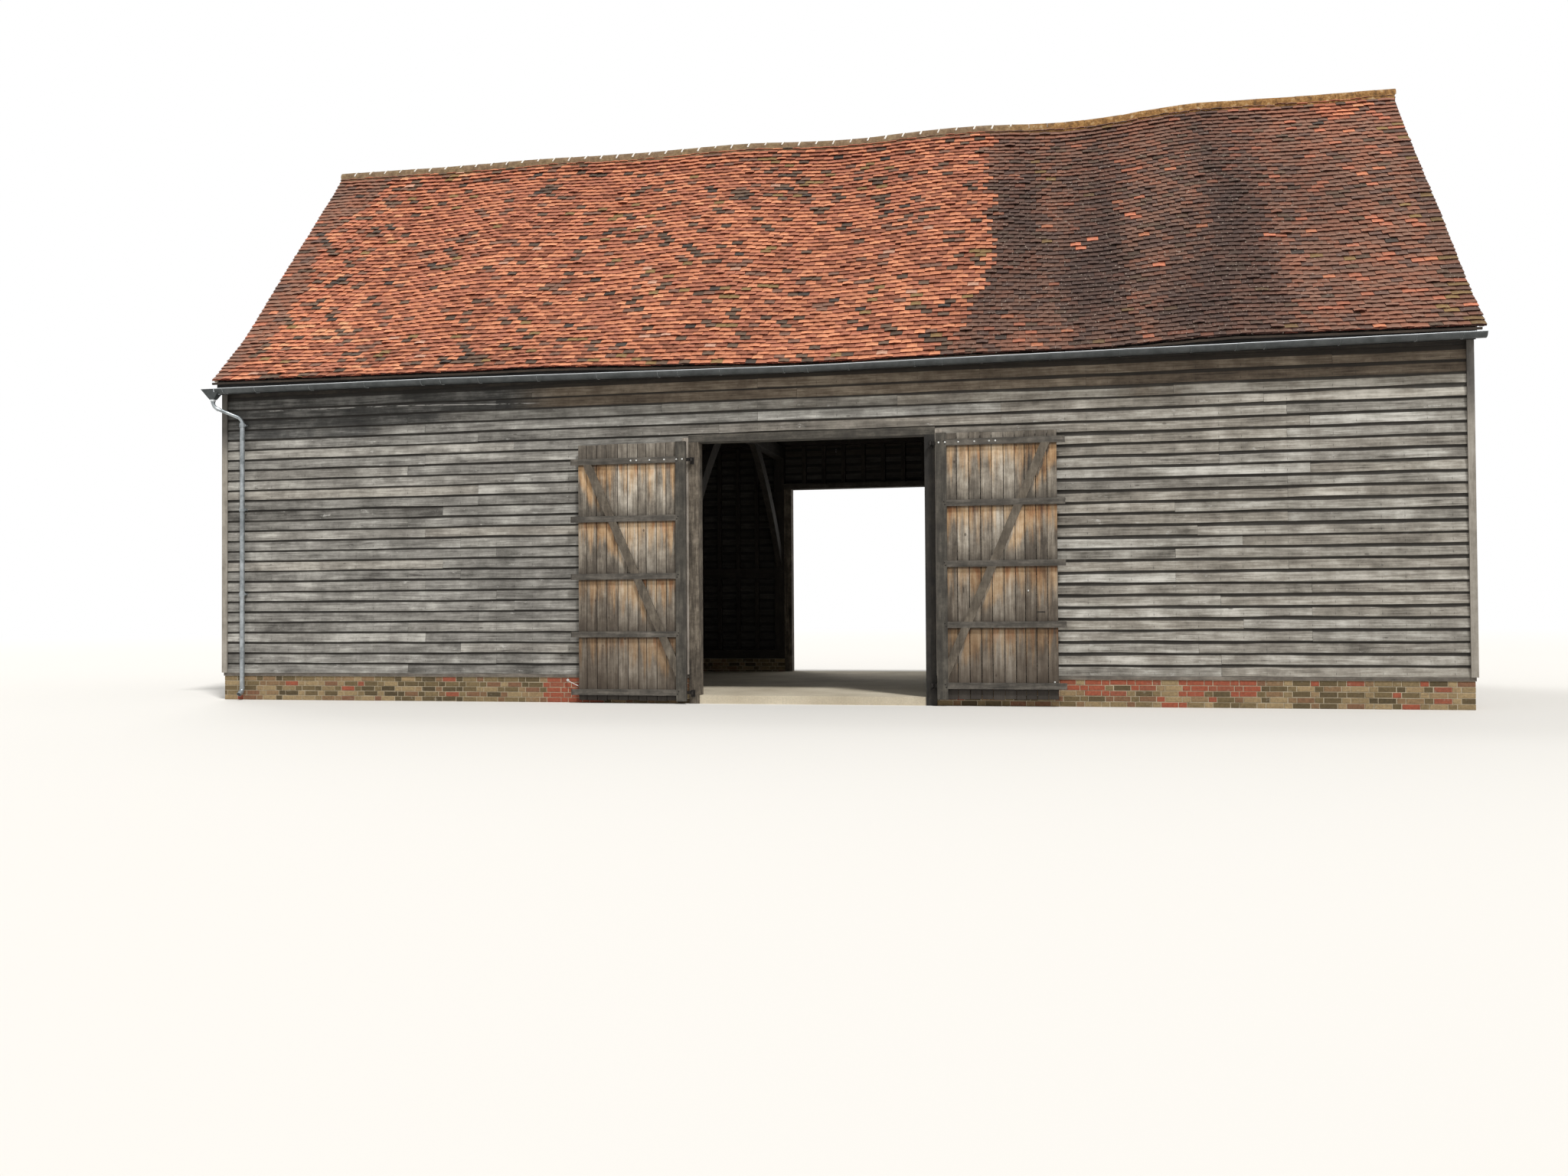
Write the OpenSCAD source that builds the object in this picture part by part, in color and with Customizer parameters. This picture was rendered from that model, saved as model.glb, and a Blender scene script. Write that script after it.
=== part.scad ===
// Timber-framed barn: weatherboarded walls on a brick plinth, a steep tiled roof with a
// sagging ridge and kicked-out eaves, and a pair of ledged and braced doors folded back
// against the front wall. Millimetres, +X to the right along the front, front at -Y.

/* [Overall] */
// Length over the weatherboarding
barn_len = 18200; // [17800:50:18600]
// Width over the weatherboarding
barn_wid = 7300; // [7100:50:7500]
// Top of the wall plates above the ground
plate_top = 4840; // [4700:20:5000]
// Top of the concrete floor above the ground
floor_top = 120; // [60:10:200]

/* [Roof] */
// Pitch of the main slopes in degrees
roof_pitch = 50.5; // [49.5:0.1:51.5]
// Distance from the centre line to where the eaves start to kick out
kick_y = 3050; // [2950:10:3150]
// Distance from the centre line to the edge of the eaves
eaves_y = 3860; // [3840:5:3880]
// Rise of the unsagged edge of the eaves above the wall plates
eaves_rise = 165; // [150:5:190]
// Overhang of the roof past each gable
verge = 70; // [40:5:100]
// Thickness of tiles and battens, square to the slope
cover_t = 70; // [60:2:80]
// Share of the old roof's sag that is shown
sag_share = 1; // [0:0.1:1]

/* [Doorways] */
// Centre of both doorways along the length
door_x = 325; // [200:25:450]
// Clear width of a doorway
door_w = 3300; // [3200:20:3400]
// Height of the front doorway's head
front_head = 3820; // [3780:10:3860]
// Height of the back doorway's head
back_head = 3780; // [3740:10:3860]
// Width of a door post
jamb_w = 150; // [120:10:180]

/* [Door leaves] */
// Width of one leaf
leaf_w = 1660; // [1600:10:1660]
// Bottom of the left leaf
left_low = 40; // [30:5:80]
// Bottom of the right leaf
right_low = 95; // [60:5:120]
// Top of both leaves
leaf_top = 3825; // [3800:5:3850]
// Centre of the left leaf's lowest ledge
left_ledge_z = 165; // [155:5:190]
// Centre of the right leaf's lowest ledge
right_ledge_z = 287; // [280:1:300]
// Rise from one ledge to the next
ledge_rise = 850; // [845:1:855]
// Height of a ledge
ledge_h = 86; // [70:2:100]
// Length of a ledge past the leaf's free edge
ledge_tip = 110; // [80:10:120]
// Width of the hanging stile
stile_w = 150; // [120:10:170]
// Width of the brace, measured level
brace_w = 125; // [100:5:140]

/* [Timber frame] */
// Side of a main post
post_w = 200; // [180:10:220]
// Width of a stud
stud_w = 80; // [60:10:100]
// Greatest distance between studs
stud_gap = 400; // [380:10:450]
// Width of a rafter
rafter_w = 80; // [60:10:90]
// Depth of a rafter, square to the slope
rafter_d = 150; // [130:5:160]
// Greatest distance between rafters
rafter_gap = 440; // [420:10:480]

/* [Rainwater goods] */
// Outer radius of the half-round gutters
gutter_r = 75; // [68:1:78]
// Outer radius of the downpipes
pipe_r = 36; // [33:1:40]
// Outer radius of the swan necks
swan_r = 27; // [24:1:30]

/* [Hidden] */
$fn = 48;

// Colours, as the weather has left them
oak_grey = [0.48, 0.45, 0.41];
board_grey = [0.55, 0.53, 0.50];
frame_brown = [0.33, 0.27, 0.21];
tile_red = [0.66, 0.27, 0.17];
mortar_tan = [0.60, 0.55, 0.47];
brick_brown = [0.47, 0.36, 0.28];
concrete_cream = [0.76, 0.70, 0.60];
zinc_grey = [0.55, 0.58, 0.61];
iron_black = [0.12, 0.12, 0.12];

// Half lengths, over the boarding and over the frame
board_t = 30;
half_len = barn_len / 2;
half_wid = barn_wid / 2;
frame_x_end = half_len - board_t;
frame_y = half_wid - board_t;

// Plinth of five brick courses, one brick thick
plinth_top = 375;
plinth_t = 225;
plinth_in = 10;

// Sill beams, rails, plates and the level lines of the frame
sill_h = 180;
sill_t = 180;
sill_top = plinth_top + sill_h;
plate_h = 180;
plate_low = plate_top - plate_h;
tie_h = 240;
tie_gap = 20;
tie_top = plate_low - tie_gap;
tie_low = tie_top - tie_h;
bend_centre = [-3400, -2870];
bend_r = 8500;
bend_faces = 256;
brace_depth = 230;
brace_t = 110;
rail_low = 2000;
rail_h = 200;
rail_t = 120;
stud_t = 100;

// Cross frames along the length: two gable frames and four trusses
gable_frame_x = frame_x_end - post_w / 2;
jamb_x = door_w / 2 + jamb_w;
left_truss_x = door_x - jamb_x - post_w / 2;
right_truss_x = door_x + jamb_x + post_w / 2;
end_bay_left = 3700;
bay_right = 3940;
frames = [
    -gable_frame_x, left_truss_x - end_bay_left, left_truss_x,
    right_truss_x, right_truss_x + bay_right, gable_frame_x
];
trusses = [for (i = [1:len(frames) - 2]) frames[i]];

// How far the ridge has dropped at each frame, and the extra sag in the middle of each bay
ridge_frame_drop = [0, 20, 40, 55, -30, 0];
ridge_bay_sag = [15, 25, 65, 100, 10];

// The same for the edge of the eaves
eaves_frame_drop = [-18, 8, 65, 90, 0, 22];
eaves_bay_sag = [0, -29, 38, 50, 7];

// Weatherboarding and its trim
board_low = 425;
board_top = plate_top + 60;
corner_w = 90;
corner_t = 22;
cover_board_w = 95;
jamb_front = half_wid + 15;
jamb_t = 225;
lintel_h = 110;

// Rafters and the tiled covering, as vertical sizes on the main pitch
pitch_tan = tan(roof_pitch);
rafter_v = rafter_d / cos(roof_pitch);
cover_v = cover_t / cos(roof_pitch);
foot_y = frame_y - 60;
edge_t = 70;
tail_y = eaves_y - 70;
tail_d = 80;
roof_x_end = half_len + verge;
gable_rafter_x = frame_x_end - rafter_w / 2;

// Play under pieces that lie on the rafters, the open joints of the covering and its ridge
play = 0.2;
cover_joint = 1;
ridge_joint = 4;
ridge_play = 1.5;
ridge_r = 130;
ridge_bed = 48;

// Purlins, collars and queen posts
purlin_y = 1750;
purlin_w = 200;
purlin_d = 120;
collar_t = 120;
queen_w = 120;
queen_in = 250;
seat_spare = 15;
seat_clear = 10;

// Eaves joinery
fascia_t = 25;
fascia_gap = 8;
fascia_low = 70;
fascia_steps = 40;
barge_t = 25;
barge_d = 130;

// Gutters in straight lengths from frame to frame, with the drop of their rim at each end
gutter_t = 3;
bead_r = 7;
gutter_gap = 5;
gutter_y = tail_y + fascia_t + gutter_r + gutter_gap;
gutter_rise = 28;
rim_drops = [
    [-half_len, 0], [frames[1], 2], [frames[2], 39], [door_x, 56],
    [frames[3], 41], [frames[4], 19], [half_len, 0]
];
length_joint = 4;
clip_play = 1;
clip_t = 4;
clip_w = 25;
clip_in = 5;
union_w = 60;
clip_gap = 930;
clip_in_end = 30;

// Outlet hopper, swan neck, pipe and shoe
outlet_x = half_len + 20;
hopper_half = 165;
hopper_h = 160;
hopper_t = 3;
spigot_r = 38;
spigot_h = 30;
gutter_in = 60;
gutter_near = outlet_x - gutter_in;
gutter_far = roof_x_end + 30;
hopper_z = plate_top + gutter_rise;
pipe_x = half_len - 365;
pipe_y = half_wid + 60;
swan_turn = 68;
swan_bend_r = 115;
swan_gap = 10;
swan_top_z = hopper_z - hopper_h - spigot_h - swan_gap;
swan_plan = norm([pipe_x - outlet_x, pipe_y - gutter_y]);
swan_straight = swan_plan - 2 * swan_bend_r * (1 - cos(swan_turn));
swan_drop = 2 * swan_bend_r * sin(swan_turn) + swan_straight / tan(swan_turn);
socket_t = 4;
socket_h = 24;
shoe_z = 190;
shoe_turn = 55;
shoe_bend_r = 80;
shoe_toe = 60;
band_h = 60;
band_t = 8;
band_plate_w = 110;
band_step = 1330;
band_first = 580;
band_zs = [for (k = [0:2]) hopper_z - band_first - k * band_step];

// Door leaves: the hinge axis lies in the middle of the boards
leaf_board_t = 28;
ledge_t = 45;
swing_gap = 6;
hinge_out = ledge_t + leaf_board_t / 2 + swing_gap;
hinge_y = -(jamb_front + hinge_out);
hinge_off = 90;
leaf_reach = hinge_off - 15;
ledge_count = 5;
tip_cut = 6;
tip_taper = 25;
strap_t = 8;
strap_h = 50;
strap_len = 850;
strap_point = 70;
strap_taper = 12;
spear_in = 6;
strap_y = leaf_board_t / 2 + strap_t;
eye_r = strap_y + 0.5;
pin_r = 9.5;
bore_r = 10;
pin_gap = 1;
shank_h = 20;
pin_past = 5;
pintle_foot = 20;
pintle_head = 60;
plate_half = 30;
pintle_plate_t = 6;
brace_foot_left = 185;
brace_foot_right = 45;
brace_head_in = 95;

// Sagging lines of the roof

// Drop at x of a line that runs straight from frame to frame, with a sine sag in each bay
function sag_line(x, at_frames, in_bays) =
    let (xc = min(max(x, frames[0]), frames[len(frames) - 1]),
        i = max([for (k = [0:len(frames) - 2]) xc >= frames[k] ? k : 0]),
        t = (xc - frames[i]) / (frames[i + 1] - frames[i]))
    sag_share * (at_frames[i] * (1 - t) + at_frames[i + 1] * t
        + in_bays[i] * pow(sin(180 * t), 2));
function ridge_drop(x) = sag_line(x, ridge_frame_drop, ridge_bay_sag);

// Height of the covering's top at the edge of the eaves
function eaves_top(x) =
    plate_top + eaves_rise - sag_line(x, eaves_frame_drop, eaves_bay_sag);

// Height of a gutter's rim
function gutter_rim(x) = plate_top + gutter_rise - sag_share * lookup(x, rim_drops);

// Heights of the rafters' underside and top at x and at y from the centre line
function rafter_under(x, y) =
    plate_top + (foot_y - y) * pitch_tan - ridge_drop(x) * (1 - y / foot_y);
function rafter_top(x, y) = rafter_under(x, y) + rafter_v;

// Heights of the sprockets' top and of the covering's top between the kick and the eaves
function kick_line(y, z0, z1) = z0 + (z1 - z0) * (y - kick_y) / (eaves_y - kick_y);
function kick_under(x, y) = kick_line(y, rafter_top(x, kick_y), eaves_top(x) - edge_t);
function kick_over(x, y) = kick_line(y, rafter_top(x, kick_y) + cover_v, eaves_top(x));

// Heights of the covering's underside and top
function cover_under(x, y) = play + (y < kick_y ? rafter_top(x, y) : kick_under(x, y));
function cover_over(x, y) = y < kick_y ? rafter_top(x, y) + cover_v : kick_over(x, y);

// Rafter places: one pair at each frame and even spaces between
rafter_frames = [
    for (i = [0:len(frames) - 1])
        i == 0 ? -gable_rafter_x : i == len(frames) - 1 ? gable_rafter_x : frames[i]
];
rafter_xs = concat(
    [for (i = [0:len(frames) - 2])
        let (a = rafter_frames[i], b = rafter_frames[i + 1], n = ceil((b - a) / rafter_gap))
        for (k = [0:n - 1]) a + (b - a) * k / n],
    [gable_rafter_x]);

// The roof is flat across each rafter, and wider across each truss
function seat_half(x) = len([for (t = trusses) if (abs(x - t) < 1) t]) > 0
    ? collar_t / 2 + seat_spare : rafter_w / 2;
function drop_x(x) = let (near = [for (r = rafter_xs) if (abs(x - r) <= seat_half(r) + 0.1) r])
    len(near) > 0 ? near[0] : x;
roof_xs = concat(
    [-roof_x_end],
    [for (r = rafter_xs) for (s = [-1, 1]) r + s * seat_half(r)],
    [roof_x_end]);
purlin_xs = concat(
    [-gable_frame_x],
    [for (x = roof_xs) if (abs(x) < gable_frame_x - seat_clear) x],
    [gable_frame_x]);

// Helpers

// Box between two corners
module block(x0, x1, y0, y1, z0, z1) {
    translate([x0, y0, z0]) cube([x1 - x0, y1 - y0, z1 - z0]);
}

// Prism along X from x0 to x1 with an outline of [y, z] points
module prism_x(outline, x0, x1) {
    translate([x0, 0, 0]) rotate([90, 0, 90]) linear_extrude(x1 - x0) polygon(outline);
}

// Solid along X through equal rings of [y, z] points, one ring at each x
module loft_x(xs, rings) {
    n = len(rings[0]);
    last = (len(xs) - 1) * n;
    points = [for (i = [0:len(xs) - 1]) for (p = rings[i]) [xs[i], p[0], p[1]]];
    sides = [
        for (i = [0:len(xs) - 2]) for (j = [0:n - 1])
            let (a = i * n + j, b = i * n + (j + 1) % n)
            for (f = [[a, b, b + n], [a, b + n, a + n]]) f
    ];
    start = [for (j = [0:n - 1]) n - 1 - j];
    end = [for (j = [0:n - 1]) last + j];
    polyhedron(points, concat(sides, [start, end]), convexity = 4);
}

// The children at the back and again at the front
module front_and_back() {
    children();
    mirror([0, 1, 0]) children();
}

// The children at the right and again at the left
module left_and_right() {
    children();
    mirror([1, 0, 0]) children();
}

// Ground works

module floor_slab() {
    inner_x = half_len - plinth_in - plinth_t;
    inner_y = half_wid - plinth_in - plinth_t;
    color(concrete_cream) {
        block(-inner_x, inner_x, -inner_y, inner_y, 0, floor_top);
        block(door_x - door_w / 2, door_x + door_w / 2, -half_wid, half_wid, 0, floor_top);
    }
}

// The two runs of plinth beside the back doorway
module plinth_runs() {
    y1 = half_wid - plinth_in;
    x1 = half_len - plinth_in;
    color(brick_brown) {
        block(-x1, door_x - jamb_x, y1 - plinth_t, y1, 0, plinth_top);
        block(door_x + jamb_x, x1, y1 - plinth_t, y1, 0, plinth_top);
    }
}

module front_plinths() {
    mirror([0, 1, 0]) plinth_runs();
}

module back_plinths() {
    plinth_runs();
}

module gable_plinths() {
    x1 = half_len - plinth_in;
    y1 = half_wid - plinth_in - plinth_t;
    color(brick_brown) left_and_right() block(x1 - plinth_t, x1, -y1, y1, 0, plinth_top);
}

// Wall frames

module wall_sill_beams() {
    color(frame_brown) front_and_back() {
        block(-frame_x_end, door_x - jamb_x, frame_y - sill_t, frame_y, plinth_top, sill_top);
        block(door_x + jamb_x, frame_x_end, frame_y - sill_t, frame_y, plinth_top, sill_top);
    }
}

module gable_sill_beams() {
    y1 = frame_y - sill_t;
    color(frame_brown) left_and_right()
        block(frame_x_end - sill_t, frame_x_end, -y1, y1, plinth_top, sill_top);
}

module frame_posts() {
    color(frame_brown) front_and_back() for (x = frames)
        block(x - post_w / 2, x + post_w / 2, frame_y - post_w, frame_y, sill_top, plate_low);
}

// Jambs of one doorway, up to its head
module jamb_pair(head) {
    for (x = [door_x - jamb_x, door_x + door_w / 2])
        block(x, x + jamb_w, jamb_front - jamb_t, jamb_front, 0, head);
}

module door_posts() {
    color(oak_grey) {
        mirror([0, 1, 0]) jamb_pair(front_head);
        jamb_pair(back_head);
    }
}

module lintel(head) {
    block(door_x - jamb_x, door_x + jamb_x, jamb_front - jamb_t, jamb_front,
        head, head + lintel_h);
}

module door_lintels() {
    color(oak_grey) {
        mirror([0, 1, 0]) lintel(front_head);
        lintel(back_head);
    }
}

module wall_plates() {
    color(frame_brown) front_and_back()
        block(-frame_x_end, frame_x_end, frame_y - plate_h, frame_y, plate_low, plate_top);
}

module tie_beams() {
    y1 = frame_y - post_w;
    color(frame_brown) for (x = frames)
        block(x - post_w / 2, x + post_w / 2, -y1, y1, tie_low, tie_top);
}

// Curved brace from a post to the tie beam, cut from a ring with its centre far below
module arch_brace_outline() {
    intersection() {
        translate(bend_centre) difference() {
            circle(r = bend_r + brace_depth, $fn = bend_faces);
            circle(r = bend_r, $fn = bend_faces);
        }
        square([frame_y - post_w, tie_low]);
    }
}

module arch_braces() {
    color(frame_brown) front_and_back() for (x = trusses)
        translate([x - brace_t / 2, 0, 0]) rotate([90, 0, 90])
            linear_extrude(brace_t) arch_brace_outline();
}

// Even stud places between two faces
function stud_places(a, b) =
    let (n = ceil((b - a) / stud_gap)) [for (k = [1:n - 1]) a + (b - a) * k / n];

// Studs of one long wall, below and above the rail, and over the doorway
module long_wall_studs(head) {
    y0 = frame_y - stud_t;
    for (i = [0:len(frames) - 2]) {
        xa = frames[i] + post_w / 2;
        xb = frames[i + 1] - post_w / 2;
        over_door = i == 2;
        for (x = stud_places(xa, xb)) {
            if (over_door)
                block(x - stud_w / 2, x + stud_w / 2, y0, frame_y, head + lintel_h, plate_low);
            else {
                block(x - stud_w / 2, x + stud_w / 2, y0, frame_y, sill_top, rail_low);
                block(x - stud_w / 2, x + stud_w / 2, y0, frame_y, rail_low + rail_h, plate_low);
            }
        }
    }
}

// Studs of the right gable, on the sill, on the rail and on the tie beam
module gable_studs() {
    x0 = frame_x_end - stud_t;
    for (side = [-1, 1]) for (k = [0:7]) {
        y = stud_gap * (k + 0.5);
        ya = y - stud_w / 2;
        yb = y + stud_w / 2;
        scale([1, side, 1]) {
            block(x0, frame_x_end, ya, yb, sill_top, rail_low);
            block(x0, frame_x_end, ya, yb, rail_low + rail_h, tie_low);
            prism_x([
                [ya, tie_top], [yb, tie_top],
                [yb, rafter_under(frame_x_end, yb) - play],
                [ya, rafter_under(frame_x_end, ya) - play]
            ], x0, frame_x_end);
        }
    }
}

module wall_studs() {
    color(frame_brown) {
        mirror([0, 1, 0]) long_wall_studs(front_head);
        long_wall_studs(back_head);
        left_and_right() gable_studs();
    }
}

module mid_rails() {
    y1 = frame_y - post_w;
    color(frame_brown) {
        front_and_back() for (i = [0, 1, 3, 4])
            block(frames[i] + post_w / 2, frames[i + 1] - post_w / 2,
                frame_y - rail_t, frame_y, rail_low, rail_low + rail_h);
        left_and_right()
            block(frame_x_end - rail_t, frame_x_end, -y1, y1, rail_low, rail_low + rail_h);
    }
}

// Roof frame

// One rafter with the sprocket that kicks the eaves out, at y > 0
module rafter(x) {
    prism_x([
        [0, rafter_under(x, 0)],
        [foot_y, plate_top],
        [frame_y, plate_top],
        [frame_y, kick_under(x, frame_y) - tail_d],
        [tail_y, kick_under(x, tail_y) - tail_d],
        [tail_y, kick_under(x, tail_y)],
        [kick_y, rafter_top(x, kick_y)],
        [0, rafter_top(x, 0)]
    ], x - rafter_w / 2, x + rafter_w / 2);
}

module front_rafters() {
    color(frame_brown) mirror([0, 1, 0]) for (x = rafter_xs) rafter(x);
}

module back_rafters() {
    color(frame_brown) for (x = rafter_xs) rafter(x);
}

// Corners of a purlin's section under the rafters at x
function purlin_ring(x) =
    let (xd = drop_x(x), ya = purlin_y, yb = purlin_y + purlin_w * cos(roof_pitch),
        za = rafter_under(xd, ya) - play, zb = rafter_under(xd, yb) - play,
        way = [yb - ya, zb - za] / norm([yb - ya, zb - za]),
        down = [way[1], -way[0]] * purlin_d)
    [[ya, za], [ya, za] + down, [yb, zb] + down, [yb, zb]];

module purlins() {
    color(frame_brown) front_and_back()
        loft_x(purlin_xs, [for (x = purlin_xs) purlin_ring(x)]);
}

// A collar's ends bear on the lower faces of both purlins
module collars() {
    color(frame_brown) for (x = trusses) {
        ring = purlin_ring(x);
        hi = ring[1];
        lo = ring[2];
        prism_x([[-hi[0], hi[1]], [-lo[0], lo[1]], [lo[0], lo[1]], [hi[0], hi[1]]],
            x - collar_t / 2, x + collar_t / 2);
    }
}

module queen_posts() {
    color(frame_brown) front_and_back() for (x = trusses) {
        lo = purlin_ring(x)[2];
        y1 = lo[0] - queen_in;
        block(x - queen_w / 2, x + queen_w / 2, y1 - queen_w, y1, tie_top, lo[1]);
    }
}

// Roof covering

// Section at x of the covering from y0 to y1, at y > 0
function cover_ring(x, y0, y1) = let (xd = drop_x(x)) [
    [y0, cover_under(xd, y0)], [y1, cover_under(xd, y1)],
    [y1, cover_over(xd, y1)], [y0, cover_over(xd, y0)]
];

// The main slope and its kicked-out foot
module tiled_slope() {
    gap = cover_joint / 2;
    for (run = [[gap, kick_y - gap], [kick_y + gap, eaves_y]])
        loft_x(roof_xs, [for (x = roof_xs) cover_ring(x, run[0], run[1])]);
}

module front_roof() {
    color(tile_red) mirror([0, 1, 0]) tiled_slope();
}

module back_roof() {
    color(tile_red) tiled_slope();
}

// Half-round ridge tile bedded in mortar astride the apex at x
function ridge_ring(x) =
    let (xd = drop_x(x), top = cover_over(xd, 0), foot = cover_over(xd, ridge_r) + ridge_play)
    concat([[-ridge_r, foot], [0, top + ridge_play], [ridge_r, foot]],
        [for (a = [0:22.5:180]) [ridge_r * cos(a), top - ridge_bed + ridge_r * sin(a)]]);

// The ridge in one run a bay
module ridge_tiles() {
    gap = ridge_joint / 2;
    color(mortar_tan) for (i = [0:len(frames) - 2]) {
        a = i == 0 ? -roof_x_end : frames[i] + gap;
        b = i == len(frames) - 2 ? roof_x_end : frames[i + 1] - gap;
        xs = concat([a], [for (x = roof_xs) if (x > a && x < b) x], [b]);
        loft_x(xs, [for (x = xs) ridge_ring(x)]);
    }
}

// Bargeboards under the verges, with an open joint at the apex
module bargeboards() {
    barge_v = barge_d / cos(roof_pitch);
    color(oak_grey) front_and_back() for (side = [-1, 1]) {
        x0 = side > 0 ? half_len : -half_len - barge_t;
        x = side * half_len;
        prism_x([
            [ridge_joint, rafter_top(x, ridge_joint) - barge_v],
            [kick_y, rafter_top(x, kick_y) - barge_v],
            [tail_y, kick_under(x, tail_y) - barge_d],
            [tail_y, kick_under(x, tail_y)],
            [kick_y, rafter_top(x, kick_y)],
            [ridge_joint, rafter_top(x, ridge_joint)]
        ], x0, x0 + barge_t);
    }
}

// Board on the rafters' tails that follows the eaves above and the gutter below
function fascia_ring(x) =
    let (y0 = tail_y, y1 = tail_y + fascia_t,
        low = gutter_rim(x) - fascia_low, top = kick_under(x, y1) - fascia_gap)
    [[y0, low], [y1, low], [y1, top], [y0, top]];

module fascias() {
    xs = [for (k = [0:fascia_steps]) -half_len + barn_len * k / fascia_steps];
    color(oak_grey) front_and_back() loft_x(xs, [for (x = xs) fascia_ring(x)]);
}

// Walls

// Boarding of one long wall, between x0 and x1 and above z0
module long_boarding(x0, x1, z0) {
    color(board_grey) block(x0, x1, frame_y, half_wid, z0, board_top);
}

module front_boarding_left() {
    mirror([0, 1, 0]) long_boarding(-half_len, door_x - jamb_x, board_low);
}

module front_boarding_right() {
    mirror([0, 1, 0]) long_boarding(door_x + jamb_x, half_len, board_low);
}

module front_boarding_over_door() {
    mirror([0, 1, 0])
        long_boarding(door_x - jamb_x, door_x + jamb_x, front_head + lintel_h);
}

module back_boarding_left() {
    long_boarding(-half_len, door_x - jamb_x, board_low);
}

module back_boarding_right() {
    long_boarding(door_x + jamb_x, half_len, board_low);
}

module back_boarding_over_door() {
    long_boarding(door_x - jamb_x, door_x + jamb_x, back_head + lintel_h);
}

// Boarding of one gable, from the drip board to the underside of the covering
module gable_boarding(side) {
    x0 = side > 0 ? frame_x_end : -half_len;
    x = side * half_len;
    slope = [[frame_y, kick_under(x, frame_y)], [kick_y, rafter_top(x, kick_y)]];
    color(board_grey) prism_x([
        [-frame_y, board_low], [frame_y, board_low], slope[0], slope[1],
        [0, rafter_top(x, 0)], [-slope[1][0], slope[1][1]], [-slope[0][0], slope[0][1]]
    ], x0, x0 + board_t);
}

module left_gable_boarding() {
    gable_boarding(-1);
}

module right_gable_boarding() {
    gable_boarding(1);
}

// Strips on the plinth that close the foot of the boarding
module drip_boards() {
    color(oak_grey) {
        front_and_back() {
            block(-half_len, door_x - jamb_x, frame_y, half_wid, plinth_top, board_low);
            block(door_x + jamb_x, half_len, frame_y, half_wid, plinth_top, board_low);
        }
        left_and_right()
            block(frame_x_end, half_len, -frame_y + 1, frame_y - 1, plinth_top, board_low);
    }
}

// Angle boards round the four corners
module corner_boards() {
    x1 = half_len + corner_t;
    y1 = half_wid + corner_t;
    color(oak_grey) front_and_back() left_and_right()
        translate([0, 0, board_low]) linear_extrude(board_top - board_low) polygon([
            [x1 - corner_w, half_wid], [half_len, half_wid], [half_len, y1 - corner_w],
            [x1, y1 - corner_w], [x1, y1], [x1 - corner_w, y1]
        ]);
}

// Upright boards that cover the ends of the boarding beside each doorway
module door_cover_boards() {
    y1 = jamb_front;
    color(board_grey) front_and_back() {
        x0 = door_x - jamb_x - cover_board_w;
        x1 = door_x + jamb_x;
        for (x = [x0, x1])
            block(x, x + cover_board_w, half_wid, y1, board_low, back_head + lintel_h);
    }
}

// Rainwater goods

module half_disc(r) {
    difference() {
        circle(r = r);
        translate([-r, 0]) square(2 * r);
    }
}

// The children, drawn with +X along the rim line from xa and +Z up, at the back
module on_rim(xa, xb) {
    rise = gutter_rim(xb) - gutter_rim(xa);
    translate([xa, gutter_y, gutter_rim(xa)]) rotate([0, -atan(rise / (xb - xa)), 0]) children();
}

// One straight length with a beaded outer rim, closed at its left or right end or open at both
module gutter_length(xa, xb, closed) {
    run = norm([xb - xa, gutter_rim(xb) - gutter_rim(xa)]) - length_joint;
    inner_from = closed < 0 ? gutter_t : -1;
    inner_to = run + (closed > 0 ? -gutter_t : 1);
    on_rim(xa, xb) translate([length_joint / 2, 0, 0]) rotate([90, 0, 90]) difference() {
        union() {
            linear_extrude(run) half_disc(gutter_r);
            translate([gutter_r, 0, 0]) cylinder(r = bead_r, h = run);
        }
        translate([0, 0, inner_from])
            cylinder(r = gutter_r - gutter_t, h = inner_to - inner_from);
    }
}

// Ends of a gutter's lengths, with its outlet at the right for a side of 1
function gutter_stops(side) = concat(
    [side > 0 ? -gutter_far : -gutter_near],
    [for (k = [1:len(rim_drops) - 2]) rim_drops[k][0]],
    [side > 0 ? gutter_near : gutter_far]);

module gutter_run(side) {
    stops = gutter_stops(side);
    last = len(stops) - 2;
    closed = side > 0 ? 0 : last;
    for (k = [0:last]) gutter_length(stops[k], stops[k + 1], k == closed ? -side : 0);
}

// Wedge of the hopper, seen from the side, with its walls moved in by t
module hopper_side(half, t) {
    polygon([[-half + t, 0], [-spigot_r + t, -hopper_h], [spigot_r - t, -hopper_h], [half - t, 0]]);
}

// Body of the hopper, tapered both ways, with its walls moved in by t
module hopper_body(t) {
    depth = gutter_r + gutter_gap - clip_play;
    intersection() {
        translate([0, depth, 0]) rotate([90, 0, 0]) linear_extrude(2 * depth)
            hopper_side(hopper_half, t);
        translate([-hopper_half, 0, 0]) rotate([90, 0, 90]) linear_extrude(2 * hopper_half)
            hopper_side(depth, t);
    }
}

// Tapered hopper at the end of the back gutter, open on top and where the gutter runs in
module hopper() {
    translate([outlet_x, gutter_y, hopper_z]) {
        difference() {
            hopper_body(0);
            hopper_body(hopper_t);
            translate([-2 * hopper_half, 0, 0]) rotate([0, 90, 0])
                cylinder(r = gutter_r + bead_r + clip_play,
                    h = 2 * hopper_half - gutter_in + length_joint);
            translate([0, 0, -2 * hopper_h]) cylinder(r = swan_r + clip_play, h = 2 * hopper_h);
        }
        translate([0, 0, -hopper_h - spigot_h]) difference() {
            cylinder(r = spigot_r, h = spigot_h);
            translate([0, 0, -1]) cylinder(r = swan_r + clip_play, h = spigot_h + 2);
        }
    }
}

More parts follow.
